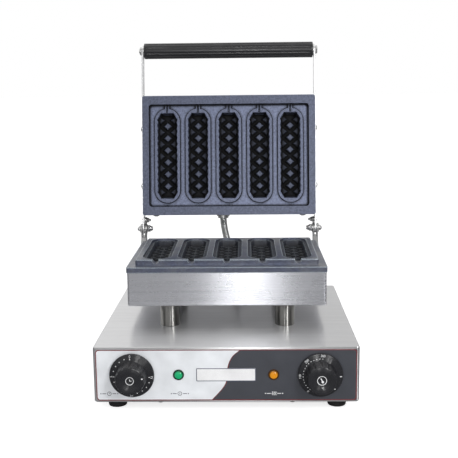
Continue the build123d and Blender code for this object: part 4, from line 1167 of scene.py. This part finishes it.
class WAFFLE_OT_posts_and_feet(bpy.types.Operator):
    """Turns the support posts and moulds the rubber feet"""

    bl_idname = "waffle.posts_and_feet"
    bl_label = "Posts and feet"

    def execute(self, context):
        low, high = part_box("support_posts")
        radius, height = 12.0 * MM, high.z - low.z
        rings = [(radius * 0.96, 0), (radius, radius * 0.04)]
        rings += [(radius, height - radius * 0.04), (radius * 0.96, height)]
        bm = bmesh.new()
        for x, y in four_in(low, high, radius):
            turned(bm, rings, shift(x, y, low.z), 64)
        piece("posts_turned", bm, "machine", "bright_steel", "post", "support_posts")

        low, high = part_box("rubber_feet")
        top, bottom, height = 12.5 * MM, 10.5 * MM, high.z - low.z
        rings = [(4.9 * MM, foot_recess), (5.0 * MM, 0.4 * MM), (5.5 * MM, 0)]
        rings += [(bottom - 0.9 * MM, 0), (bottom - 0.2 * MM, 0.3 * MM)]
        for i in range(7):
            rib = (1.0 + 1.7 * i) * MM
            wide = bottom + (top - bottom) * rib / height
            rings += [(wide, rib), (wide - 0.25 * MM, rib + 0.9 * MM)]
        rings += [(top, height - 0.6 * MM), (top - 0.5 * MM, height)]
        bm = bmesh.new()
        for x, y in four_in(low, high, top):
            turned(bm, rings, shift(x, y, 0), 48)
        piece("feet_moulded", bm, "machine", "black_rubber", "rubber", "rubber_feet")
        return {"FINISHED"}


class WAFFLE_OT_fasteners(bpy.types.Operator):
    """Makes the screws that show"""

    bl_idname = "waffle.fasteners"
    bl_label = "Screws, bolts and nuts"

    def execute(self, context):
        down, backwards = turn(180, "X"), turn(-90, "X")
        bright, plated = ("bright_steel", "bright"), ("plated_steel", "plated")
        # Each size is the head's radius and height, and the shank's radius
        pan = (4.2 * MM, 2.4 * MM, 2.0 * MM)
        places = [side_place(side, y) for side in SIDES for y in arm_screw_rows]
        screws("arm_screw_heads", "lid", bright, "arm_screws", places, pan, 12.0 * MM)

        places = [
            lid_place @ shift(side * rear_screw_x, lid_back, rear_screw_z) @ backwards
            for side in SIDES
        ]
        screws(
            "rear_cover_screws",
            "lid",
            bright,
            "lid_rear_screws",
            places,
            pan,
            11.0 * MM,
        )

        head, height = 3.9 * MM, 2.8 * MM
        tall = (head, height, 2.0 * MM)
        low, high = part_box("bracket_screws")
        places = [
            shift(x, high.y - height, z) @ backwards
            for x, z in four_in(low, high, head, "z")
        ]
        screws(
            "bracket_screw_heads",
            "machine",
            plated,
            "bracket_screws",
            places,
            tall,
            7.7 * MM,
        )

        large, deep = (5.0 * MM, 2.5 * MM, 2.5 * MM), 12.0 * MM
        lower, upper = [], []
        for x, y in four(cover_screw_x, cover_screw_y):
            lower.append(shift(x, lower_middle + y, lower_low.z) @ down)
            upper.append(lid_place @ shift(x, lid_middle + y, lid_skin))
        for half, body, places in (
            ("lower", "machine", lower),
            ("upper", "lid", upper),
        ):
            name, node = f"{half}_cover_screws", f"{half}_casing_screws"
            screws(name, body, bright, node, places, large, deep)

        corners = four_in(*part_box("foot_screws"), head)
        places = [shift(x, y, foot_recess) @ down for x, y in corners]
        screws("foot_screw_heads", "machine", plated, "foot_screws", places, tall, deep)
        paint("plated", "floor_screws")
        return {"FINISHED"}


class WAFFLE_OT_hinge_fittings(bpy.types.Operator):
    """Makes the pivot bolts with their cap nuts, and the stop bolts with their nuts"""

    bl_idname = "waffle.hinge_fittings"
    bl_label = "Hinge fittings"

    def execute(self, context):
        head, height, socket = 4.0 * MM, 4.2 * MM, 2.0 * MM
        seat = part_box("pivot_bolts")[1].x - height
        rings = [(2.9 * MM, pivot_bolt_end - seat), (3.0 * MM, 0)]
        rings += [(head * 0.96, 0), (head, 0.3 * MM), (head, height * 0.5)]
        rings += dome(head, height * 0.5, height * 0.5)[1:3]
        rings += [(hexagon(socket), height * 0.985), (hexagon(socket), height * 0.35)]
        rings += [(socket * 0.2, height * 0.25)]
        bm = bmesh.new()
        for side in SIDES:
            place = shift(side * seat, pivot.y, pivot.z) @ turn(90 * side, "Y")
            turned(bm, rings, place, 48)
        piece(
            "pivot_bolt_heads", bm, "machine", "bright_steel", "bright", "pivot_bolts"
        )

        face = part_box("pivot_cap_nuts")[1].x
        radius, height = 4.8 * MM, 4.4 * MM
        root = radius * 0.86
        rings = [(root * 0.95, 0), (hexagon(radius), 0.35 * MM)]
        rings += [(hexagon(radius), height - 0.6 * MM), (root, height)]
        rings += dome(root * 0.97, height, root * 0.84, 8)
        bm = bmesh.new()
        for side in SIDES:
            place = shift(side * face, pivot.y, pivot.z) @ turn(-90 * side, "Y")
            turned(bm, rings, place, 48)
        piece(
            "hinge_cap_nuts", bm, "machine", "bright_steel", "bright", "pivot_cap_nuts"
        )

        head = 3.6 * MM
        rings = [(1.4 * MM, -11.0 * MM), (2.0 * MM, -10.5 * MM), (2.0 * MM, 0)]
        rings += [(3.5 * MM, 0), (head, 0.2 * MM), (head, 1.0 * MM)]
        rings += dome(head, 1.0 * MM, 0.6 * MM)[1:]
        bm = bmesh.new()
        for side in SIDES:
            turned(bm, rings, side_place(side, stop_row), 32)
        piece("stop_bolt_heads", bm, "lid", "bright_steel", "bright", "stop_bolts")

        collar = [(2.9 * MM, 0), (3.0 * MM, 0.2 * MM), (3.0 * MM, 2.55 * MM)]
        nut = [(hexagon(3.7 * MM), 2.6 * MM), (hexagon(3.9 * MM), 2.9 * MM)]
        nut += [(hexagon(3.9 * MM), 5.5 * MM), (hexagon(3.5 * MM), 5.8 * MM)]
        bm = bmesh.new()
        for side in SIDES:
            place = lid_place @ shift(side * casing_half, stop_row, 0)
            place = place @ turn(-90 * side, "Y")
            turned(bm, collar, place, 32)
            turned(bm, nut, place, 48)
        piece("stop_nuts", bm, "lid", "plated_steel", "plated", "stop_collar_nuts")
        return {"FINISHED"}


class WAFFLE_OT_handle(bpy.types.Operator):
    """Makes the fluted grip, its rod and the rod's nut"""

    bl_idname = "waffle.handle"
    bl_label = "Handle"

    def execute(self, context):
        handle = context.scene.waffle_handle
        low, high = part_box("handle_grip")
        radius, bore, long = handle.radius, 4.1 * MM, high.x - low.x
        bar = fluted(radius, handle.flutes, 1.5 * MM, 0.75 * MM)
        collar = radius * 0.32
        half = [(bore, 2.0 * MM), (bore, 0), (radius - 0.9 * MM, 0)]
        half += [(radius - 0.25 * MM, 0.25 * MM), (radius, 0.9 * MM)]
        half += [(radius, collar), (bar, collar + 0.7 * MM)]
        rings = half + [(bar, long * k / 6) for k in range(1, 6)]
        rings += [(reach, long - height) for reach, height in reversed(half)]
        box_room = 0.03 * MM
        middle_z = (low.z + high.z) / 2 - box_room
        centre = Vector((0, (low.y + high.y) / 2, middle_z))
        place = shift(*centre) @ turn(90, "Y") @ shift(0, 0, -long / 2)
        bm = bmesh.new()
        turned(bm, rings, place, 120)
        piece(
            "grip_fluted", bm, "lid", "black_plastic", "grip", "handle_grip", smooth=28
        )

        row = (lid_place.inverted() @ centre).y
        head, height, shank = 5.6 * MM, 4.0 * MM, 4.0 * MM
        rod = [(3.9 * MM, -2 * arm_out - 3.0 * MM), (shank, -2 * arm_out), (shank, 0)]
        rod += [(head * 0.96, 0), (head, 0.3 * MM), (head, height * 0.5)]
        rod += dome(head, height * 0.5, height * 0.5)[1:3]
        rod += [(hexagon(2.6 * MM), height * 0.98), (hexagon(2.6 * MM), height * 0.3)]
        bm = bmesh.new()
        turned(bm, rod, side_place(-1, row), 48)
        piece("grip_rod", bm, "lid", "bright_steel", "plated", "handle_rod")

        flats = hexagon(5.8 * MM)
        nut = [(hexagon(5.2 * MM), 0), (flats, 0.4 * MM), (flats, 2.5 * MM)]
        nut += [(5.0 * MM, 3.0 * MM), (3.9 * MM, 3.0 * MM)]
        bm = bmesh.new()
        turned(bm, nut, side_place(1, row), 48)
        piece("grip_nut", bm, "lid", "bright_steel", "plated", "handle_nut")
        paint("plated", "handle_washers")
        return {"FINISHED"}


# ------------------------------------------------------------------------ control panel
# The line between the panel's halves, in millimetres: its heights from the base's top,
# and its places in x
SWOOSH = [
    (-2.8, 17.2),
    (-3.3, 16.4),
    (-10.6, 7.9),
    (-21.7, 2.7),
    (-40.6, 0.4),
    (-48.5, -3.8),
    (-62.8, -16.5),
]


def swoosh(drop):
    """Where the line between the panel's halves stands at a height, on one curve."""
    last = len(SWOOSH) - 1
    i = next((k for k in range(last) if drop >= SWOOSH[k + 1][0]), last - 1)

    def slope(k):
        a, b = SWOOSH[max(k - 1, 0)], SWOOSH[min(k + 1, last)]
        return (b[1] - a[1]) / (b[0] - a[0])

    (d0, x0), (d1, x1) = SWOOSH[i], SWOOSH[i + 1]
    step = d1 - d0
    t = (drop - d0) / step
    return (
        x0 * (2 * t**3 - 3 * t**2 + 1)
        + slope(i) * step * (t**3 - 2 * t**2 + t)
        + x1 * (3 * t**2 - 2 * t**3)
        + slope(i + 1) * step * (t**3 - t**2)
    )


def panel_field(width, height, drop, left, right):
    """A flat field between two lines down the panel, given by their places in x."""
    bm = bmesh.new()
    verts = bmesh.ops.create_grid(bm, x_segments=1, y_segments=36, size=0.5)["verts"]
    for v in verts:
        z = v.co.y * height
        fall = (z - height / 2) / MM - drop
        v.co = (left(fall) if v.co.x < 0 else right(fall), z, 0)
    return bm


def print_piece(name, finish_name, shapes):
    """Makes one print on the panel of flat shapes, each with a place and thickness."""
    bm = bmesh.new()
    for shape, where, thickness in shapes:
        stamp(bm, shape, where, thickness)
    piece(name, bm, "machine", "printed_film", finish_name, smooth=30)


def panel_symbols():
    """Plain symbols in the places of the panel's captions: clock, mains, heat."""
    z = base_top - 54.6 * MM
    places = {"clock": -132.5 * MM, "power": -52.5 * MM, "heat": 54.0 * MM}
    ring = (2.5 * MM, 1.9 * MM)
    shapes = {
        "clock": [
            flat_ring(*ring),
            flat_bar(0.5 * MM, 1.6 * MM, 0, 0.6 * MM),
            flat_bar(1.3 * MM, 0.5 * MM, 0.5 * MM, 0),
        ],
        "power": [flat_ring(*ring), flat_bar(0.6 * MM, 2.4 * MM)],
        "heat": [
            flat_bar(0.7 * MM, 1.7 * MM, x + 0.3 * MM * lean, k * 1.4 * MM, lean * 0.5)
            for x in (-1.9 * MM, 0.0, 1.9 * MM)
            for k, lean in ((-1, 1), (0, -1), (1, 1))
        ],
    }
    for side in SIDES:
        for made in shapes.values():
            made.append(flat_bar(4.4 * MM, 0.8 * MM, side * 5.8 * MM, 0))
            made.append(moved(flat_disc(0.7 * MM, 12), side * 9.6 * MM, 0))
    return {
        name: [(shape, places[name], z) for shape in made]
        for name, made in shapes.items()
    }


class WAFFLE_OT_control_panel(bpy.types.Operator):
    """Prints the control panel and finishes its bare name plate"""

    bl_idname = "waffle.control_panel"
    bl_label = "Control panel"

    def execute(self, context):
        panel = context.scene.waffle_panel
        low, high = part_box("control_overlay")
        width, height = high.x - low.x, high.z - low.z
        middle = on_panel(0, (low.z + high.z) / 2)
        drop = (base_top - high.z) / MM
        line, ink = panel.line_width, panel.ink
        paint("film", "control_overlay")
        paint("name_foil", "name_plate")

        dark = panel_field(
            width, height, drop, lambda d: swoosh(d) * MM, lambda d: width / 2
        )
        corners = [v for v in dark.verts if v.co.x > width / 2 - 1e-6]
        corners = [v for v in corners if abs(v.co.y) > height / 2 - 1e-6]
        round_corners(dark, corners, 1.2 * MM, 4)
        print_piece("panel_dark_half", "dark_print", [(dark, middle, ink * 0.5)])

        border = flat_frame(width, height, 4.0 * MM, line)
        divide = panel_field(
            width,
            height,
            drop,
            lambda d: swoosh(d) * MM - line * 0.5,
            lambda d: swoosh(d) * MM + line * 0.5,
        )
        print_piece(
            "panel_border_lines",
            "line_print",
            [(border, middle, ink), (divide, middle, ink * 0.8)],
        )

        low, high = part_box("name_plate")
        ring = flat_frame(high.x - low.x, high.z - low.z, 1.0 * MM, 0.8 * MM)
        front = on_panel(0, (low.z + high.z) / 2, film_y - low.y)
        print_piece("name_plate_border", "frame_print", [(ring, front, ink)])

        icons = panel_symbols()
        grey = [
            (shape, on_panel(x, z), ink)
            for shape, x, z in icons["clock"] + icons["power"]
        ]
        white = [
            (shape, on_panel(x, z, ink * 0.5), ink) for shape, x, z in icons["heat"]
        ]
        print_piece("panel_symbols_grey", "grey_ink", grey)
        print_piece("panel_symbols_white", "white_ink", white)
        return {"FINISHED"}


# -------------------------------------------------------------------------------- dials
dish_rim = 11.0 * MM
dish_depth = 2.0 * MM


def dial_profile(dials, depth):
    """Heights of a dial over its back, by distance from its axis, skirt to face."""
    skirt, body, face = dials.skirt_radius, dials.body_radius, dials.face_radius
    return [
        (skirt - 0.8 * MM, 2.8 * MM),
        (body + 0.2 * MM, 4.7 * MM),
        (body, 5.0 * MM),
        (face + 0.15 * MM, depth - 2.6 * MM),
        (face - 0.2 * MM, depth - 1.3 * MM),
        (face - 1.0 * MM, depth - 0.4 * MM),
        (face - 2.3 * MM, depth),
        (dish_rim + 0.2 * MM, depth),
    ]


def dial_height(dials, depth, reach):
    """Height of a dial's surface over its back at a distance from its axis."""
    if reach < dish_rim:
        return depth - dish_depth * (1 - (reach / dish_rim) ** 2)
    steps = dial_profile(dials, depth)
    for (r0, z0), (r1, z1) in zip(steps, steps[1:]):
        if r1 <= reach <= r0:
            return z0 + (z1 - z0) * (r0 - reach) / (r0 - r1)
    return steps[0][1] if reach > steps[0][0] else depth


def dial_rings(dials, depth):
    """Rings of the moulded dial: skirt, scalloped grip and dished face."""
    skirt = dials.skirt_radius
    rings = [(5.5 * MM, 7.0 * MM), (12.0 * MM, 7.0 * MM), (15.4 * MM, 4.4 * MM)]
    rings += [(skirt - 2.4 * MM, 1.0 * MM), (skirt - 2.2 * MM, 0)]
    rings += [(skirt - 0.4 * MM, 0), (skirt, 0.4 * MM), (skirt, 2.1 * MM)]
    rings += [(skirt - 0.25 * MM, 2.6 * MM)]
    for reach, height in dial_profile(dials, depth):
        bite = 0.7 * MM if height < depth - 1.0 * MM else 0.35 * MM
        if 4.9 * MM < height < depth - 0.2 * MM:
            reach = fluted(reach, dials.scallops, 2.2 * MM, bite)
        rings.append((reach, height))
    for part in (1.0, 0.85, 0.6, 0.3, 0.05):
        reach = dish_rim * part
        rings.append((reach, dial_height(dials, depth, reach * 0.999)))
    return rings


def on_dial(dials, depth, place, degrees, reach):
    """Lays points on a dial, round a place at an angle and a distance from its axis."""
    angle = math.radians(degrees)
    out = Vector((math.cos(angle), math.sin(angle), 0))
    along = Vector((out.y, -out.x, 0))
    clearance = 0.02 * MM

    def where(p):
        spot = out * (reach + p.y) + along * p.x if reach else Vector((p.x, p.y, 0))
        height = dial_height(dials, depth, spot.length) + clearance + p.z
        return place @ Vector((spot.x, spot.y, height))

    return where


def timer_marks():
    """Shapes printed on the timer's dial: numerals, dots, pointer and a clock mark."""
    first, step = 94, 17.5
    for k in range(16):
        angle = first + step * k
        if k % 5:
            yield flat_disc(0.6 * MM, 12), angle, 21.0 * MM
        else:
            yield flat_bar(0.8 * MM, 1.6 * MM), angle, 20.0 * MM
            yield flat_words(str(k), 2.9 * MM), angle, 22.8 * MM
    yield flat_bar(1.3 * MM, 3.0 * MM), 12, 14.9 * MM
    yield flat_ring(4.6 * MM, 4.0 * MM), 0, 0
    yield flat_bar(0.6 * MM, 2.3 * MM, 0, 0.9 * MM), 0, 0
    yield flat_bar(2.2 * MM, 0.6 * MM, 0.9 * MM, 0), 0, 0


def thermostat_marks():
    """Shapes printed on the thermostat's dial: numerals, dots, a thermometer mark."""
    first, last, count = 233, 84, 16
    for k in range(count):
        angle = first + (last - first) * k / (count - 1)
        yield flat_disc(0.5 * MM, 12), angle, 19.8 * MM
    for words, angle in (("0", first), ("100", 183), ("200", 133), ("300", last)):
        yield flat_words(words, 2.7 * MM), angle, 22.9 * MM
    yield flat_bar(0.9 * MM, 2.4 * MM), -3, 22.6 * MM
    yield flat_disc(0.65 * MM, 12), -45, 22.4 * MM
    yield flat_disc(0.65 * MM, 12), -68, 20.9 * MM
    yield flat_ring(5.3 * MM, 4.7 * MM), 0, 0
    yield flat_disc(1.3 * MM), -62, 1.9 * MM
    yield flat_bar(1.0 * MM, 6.0 * MM, 0, 0, math.radians(28)), 0, 0
    yield moved(flat_words("\u00b0C", 1.9 * MM), 0.5 * MM, -8.2 * MM), 0, 0


class WAFFLE_OT_dials(bpy.types.Operator):
    """Moulds the timer and thermostat dials and prints their marks"""

    bl_idname = "waffle.dials"
    bl_label = "Dials"

    def execute(self, context):
        dials = context.scene.waffle_dials
        ink, ink_room = 0.09 * MM, 0.12 * MM
        for label, marks in (("timer", timer_marks), ("thermostat", thermostat_marks)):
            low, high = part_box(f"{label}_knob")
            axis = Vector(joint(f"{label}_turn")["pos_m"])
            depth = high.y - low.y - ink_room
            place = front_place(axis.x, axis.z, high.y)
            body = f"{label}_dial"
            bm = bmesh.new()
            turned(bm, dial_rings(dials, depth), place, 144)
            piece(
                f"{body}_body",
                bm,
                body,
                "control_plastic",
                "dial",
                f"{label}_knob",
                smooth=32,
            )

            bm = bmesh.new()
            for shape, degrees, reach in marks():
                stamp(bm, shape, on_dial(dials, depth, place, degrees, reach), ink)
            piece(f"{body}_marks", bm, body, "printed_film", "white_ink", smooth=30)
        return {"FINISHED"}


# -------------------------------------------------------------------------------- lamps
class WAFFLE_OT_lamps(bpy.types.Operator):
    """Makes the two signal lamps with their faceted lenses"""

    bl_idname = "waffle.lamps"
    bl_label = "Lamps"

    def execute(self, context):
        for tone in ("green", "amber"):
            node = f"{tone}_lamp_lens"
            low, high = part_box(node)
            radius, depth = (high.x - low.x) / 2, high.y - low.y
            rings = [(radius * 0.9, 0), (radius, 0.15 * MM), (radius, 0.9 * MM)]
            rings += [(radius * 0.95, 1.15 * MM), (radius * 0.80, 1.2 * MM)]
            rings += [(radius * 0.78, 1.0 * MM), (radius * 0.74, 1.1 * MM)]
            rim, steps = 1.3 * MM, 6
            for k in range(steps):
                reach = radius * 0.74 * (1 - k / steps)
                bulge = math.sqrt(1 - (reach / (radius * 0.745)) ** 2)
                rings.append((reach, rim + (depth - rim) * bulge))
            rings.append((radius * 0.03, depth))
            place = front_place((low.x + high.x) / 2, (low.z + high.z) / 2, high.y)
            bm = bmesh.new()
            turned(bm, rings, place, 48)
            piece(
                f"{tone}_lamp_faceted",
                bm,
                "machine",
                f"{tone}_lens",
                tone,
                node,
                smooth=18,
            )
        return {"FINISHED"}


# --------------------------------------------------------------------------------- hose
def hose_path(settings):
    """The hose's curve from the base to the lid: its four control points."""
    low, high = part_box("conduit_gland_base")
    start = Vector(((low.x + high.x) / 2, (low.y + high.y) / 2, base_top))
    low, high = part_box("conduit_gland_lid")
    middle_x = (low.x + high.x) / 2
    end = lid_place @ Vector((middle_x, lid_back, settings.lid_rise))
    out = (lid_place.to_3x3() @ Vector((0, 1, 0))).normalized()
    up = Vector((0, 0, 1))
    return [start, start + up * settings.pull, end + out * settings.pull, end]


def bezier(points, t):
    """A point and the direction of a curve at a share of its run."""
    a, b, c, d = points
    s = 1 - t
    spot = a * s**3 + b * (3 * s * s * t) + c * (3 * s * t * t) + d * t**3
    run = (b - a) * (3 * s * s) + (c - b) * (6 * s * t) + (d - c) * (3 * t * t)
    return spot, run.normalized()


class WAFFLE_OT_hose(bpy.types.Operator):
    """Makes the ribbed metal conduit from the base to the lid"""

    bl_idname = "waffle.hose"
    bl_label = "Conduit"

    def execute(self, context):
        settings = context.scene.waffle_hose
        points = hose_path(settings)
        steps = 200
        spots = [bezier(points, i / steps)[0] for i in range(steps + 1)]
        run_length = sum((b - a).length for a, b in zip(spots, spots[1:]))
        outer = settings.radius
        valley, crest, bore = outer - 0.35 * MM, outer - 0.08 * MM, outer - 1.7 * MM
        pitch = run_length / settings.ribs
        profile = [(valley, 0.04), (crest, 0.24), (outer, 0.44), (crest, 0.64)]
        profile += [(valley, 0.86)]
        rings = [(bore, run_length * 0.02), (bore, 0)]
        for i in range(settings.ribs):
            rings += [(reach, pitch * (i + part)) for reach, part in profile]
        rings += [(bore, run_length), (bore, run_length * 0.98)]
        bm = bmesh.new()
        turned(bm, rings, Matrix.Identity(4), 28)
        side = Vector((1, 0, 0))
        for v in bm.verts:
            spot, run = bezier(points, min(1.0, max(0.0, v.co.z / run_length)))
            across = (side - run * side.dot(run)).normalized()
            v.co = spot + across * v.co.x + run.cross(across) * v.co.y
        hose = piece(
            "conduit_hose", bm, None, "bright_steel", "hose", "conduit", smooth=35
        )
        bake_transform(hose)
        paint("plated", "conduit_gland_base", "conduit_gland_lid")
        return {"FINISHED"}


class WAFFLE_OT_rear_fittings(bpy.types.Operator):
    """Finishes the cable gland and the earth stud"""

    bl_idname = "waffle.rear_fittings"
    bl_label = "Rear fittings"

    def execute(self, context):
        paint("gland", "cable_gland")
        paint("plated", "earth_stud")
        return {"FINISHED"}


# ------------------------------------------------------------------------------- studio
def stage_sheet(name, place, size, material):
    """A flat part of the studio."""
    bm = bmesh.new()
    verts = bmesh.ops.create_grid(bm, x_segments=4, y_segments=4, size=0.5)["verts"]
    bmesh.ops.scale(bm, vec=(*size, 1), verts=verts)
    bmesh.ops.transform(bm, matrix=place, verts=verts)
    mesh = bpy.data.meshes.new(name)
    bm.to_mesh(mesh)
    bm.free()
    mesh.materials.append(material)
    made = bpy.data.objects.new(name, mesh)
    bpy.context.scene.collection.objects.link(made)
    made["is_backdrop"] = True
    return made


def floor_material(lift):
    """Pale floor that reads as white to the camera and keeps the machine's shadow."""
    material, tree, shader = new_finish(
        "studio_floor", Roughness=0.9, Specular_IOR_Level=0.1
    )
    path = add(tree, "ShaderNodeLightPath").outputs
    tone = layered(tree, (0.9, 0.9, 0.9), (path["Is Glossy Ray"], (0.36, 0.36, 0.37)))
    connect(tree, shader, {"Base Color": tone})
    strength = span(tree, path["Is Camera Ray"], 0.0, 1.0, 0.0, lift)
    glow = add(
        tree, "ShaderNodeEmission", {"Color": (1, 1, 1, 1), "Strength": strength}
    )
    both = add(
        tree, "ShaderNodeAddShader", {0: shader.outputs["BSDF"], 1: glow.outputs[0]}
    )
    out = next(n for n in tree.nodes if n.bl_idname == "ShaderNodeOutputMaterial")
    connect(tree, out, {"Surface": both.outputs[0]})
    return material


def card_material(name):
    """Black card that puts dark bands in the polished parts."""
    dark = (0.02, 0.02, 0.02, 1)
    return new_finish(name, Roughness=0.95, Base_Color=dark)[0]


def room_light(studio):
    """A world that is white to the camera, with even light and soft reflections."""
    world = bpy.data.worlds.new("studio")
    world.use_nodes = True
    tree = world.node_tree
    tree.nodes.clear()
    path = add(tree, "ShaderNodeLightPath").outputs
    place = add(tree, "ShaderNodeTexCoord").outputs["Generated"]
    across = add(tree, "ShaderNodeSeparateXYZ", {0: place}).outputs
    left = span(tree, across["X"], -0.16, 0.0, 1.45, 1.0)
    ahead = span(tree, across["Y"], -0.3, 0.1, 0.63, 1.0)
    sheen = math_node(tree, "MULTIPLY", ahead, studio.sheen)
    sheen = math_node(tree, "MULTIPLY", left, sheen)
    above = span(tree, across["Z"], 0.1, 0.9, studio.sky, studio.sky * 0.4)
    shine = span(tree, path["Is Glossy Ray"], 0.0, 1.0, above, sheen)
    seen = math_node(
        tree, "MAXIMUM", path["Is Camera Ray"], path["Is Transmission Ray"]
    )
    strength = math_node(tree, "MAXIMUM", seen, shine)
    back = add(
        tree, "ShaderNodeBackground", {"Color": (1, 1, 1, 1), "Strength": strength}
    )
    add(tree, "ShaderNodeOutputWorld", {"Surface": back.outputs[0]})
    return world


class WAFFLE_OT_studio(bpy.types.Operator):
    """Sets up the floor, the lamps and the camera"""

    bl_idname = "waffle.studio"
    bl_label = "Studio"

    def execute(self, context):
        scene = context.scene
        studio = scene.waffle_studio
        scene.view_settings.view_transform = "Standard"

        camera = bpy.data.objects.new("camera", bpy.data.cameras.new("camera"))
        camera.data.lens = studio.focal_length
        camera.data.sensor_width = 36.0
        camera.data.clip_start = 0.05
        stand = shift(24.877 * MM, wall_y - 876.5 * MM, base_top + 291.86 * MM)
        to_left, down, roll = 1.294, 10.203, -0.605
        camera.matrix_world = (
            stand @ turn(to_left, "Z") @ turn(90 - down, "X") @ turn(roll, "Z")
        )
        scene.collection.objects.link(camera)
        scene.camera = camera

        floor = floor_material(studio.floor_lift)
        stage_sheet("studio_floor", Matrix.Identity(4), (40.0, 40.0), floor)
        for side, name in ((-1, "dark_card_left"), (1, "dark_card_right")):
            place = shift(side * 0.95, -0.35, 0.45) @ turn(90, "Y")
            card = stage_sheet(name, place, (0.9, 0.5), card_material(name))
            card.visible_camera = False

        front, right, top = studio.front_power, studio.right_power, studio.top_power
        for name, power, size, spot, aim in (
            ("front_lamp", front, (0.15, 0.32), (0.022, -1.42, 0.46), 0.16),
            ("right_lamp", right, (0.3, 0.5), (0.75, -1.15, 0.8), 0.1),
            ("top_lamp", top, (1.2, 0.8), (0.0, 0.25, 1.6), 0.1),
        ):
            lamp = bpy.data.lights.new(name, "AREA")
            lamp.shape = "RECTANGLE"
            lamp.size, lamp.size_y = size
            lamp.energy = power
            holder = bpy.data.objects.new(name, lamp)
            holder.location = spot
            gaze = Vector((0, 0, aim)) - Vector(spot)
            holder.rotation_euler = gaze.to_track_quat("-Z", "Y").to_euler()
            scene.collection.objects.link(holder)

        scene.world = room_light(studio)
        return {"FINISHED"}


# ------------------------------------------------------------------------------- add-on
OPERATORS = (
    WAFFLE_OT_studio,
    WAFFLE_OT_hose,
    WAFFLE_OT_sheet_metal,
    WAFFLE_OT_heating_plates,
    WAFFLE_OT_inner_parts,
    WAFFLE_OT_posts_and_feet,
    WAFFLE_OT_fasteners,
    WAFFLE_OT_hinge_fittings,
    WAFFLE_OT_handle,
    WAFFLE_OT_control_panel,
    WAFFLE_OT_dials,
    WAFFLE_OT_lamps,
    WAFFLE_OT_rear_fittings,
)


class WAFFLE_PT_panel(bpy.types.Panel):
    """Lists the machine's pieces and their settings"""

    bl_idname = "WAFFLE_PT_panel"
    bl_label = "Waffle stick maker"
    bl_space_type = "VIEW_3D"
    bl_region_type = "UI"
    bl_category = "Waffle maker"

    def draw(self, context):
        for operator in OPERATORS:
            self.layout.operator(operator.bl_idname)
        for name, group in SETTINGS.items():
            box = self.layout.box()
            for key in group.__annotations__:
                box.prop(getattr(context.scene, name), key)


def register():
    for name, group in SETTINGS.items():
        bpy.utils.register_class(group)
        setattr(bpy.types.Scene, name, PointerProperty(type=group))
    for operator in OPERATORS:
        bpy.utils.register_class(operator)
    bpy.utils.register_class(WAFFLE_PT_panel)


def unregister():
    bpy.utils.unregister_class(WAFFLE_PT_panel)
    for operator in reversed(OPERATORS):
        bpy.utils.unregister_class(operator)
    for name, group in SETTINGS.items():
        delattr(bpy.types.Scene, name)
        bpy.utils.unregister_class(group)


def main():
    register()
    for operator in OPERATORS:
        group, name = operator.bl_idname.split(".")
        getattr(getattr(bpy.ops, group), name)()
    corners = [[list(corner) for corner in box] for box in (cad_box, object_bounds())]


if __name__ == "__main__":
    main()
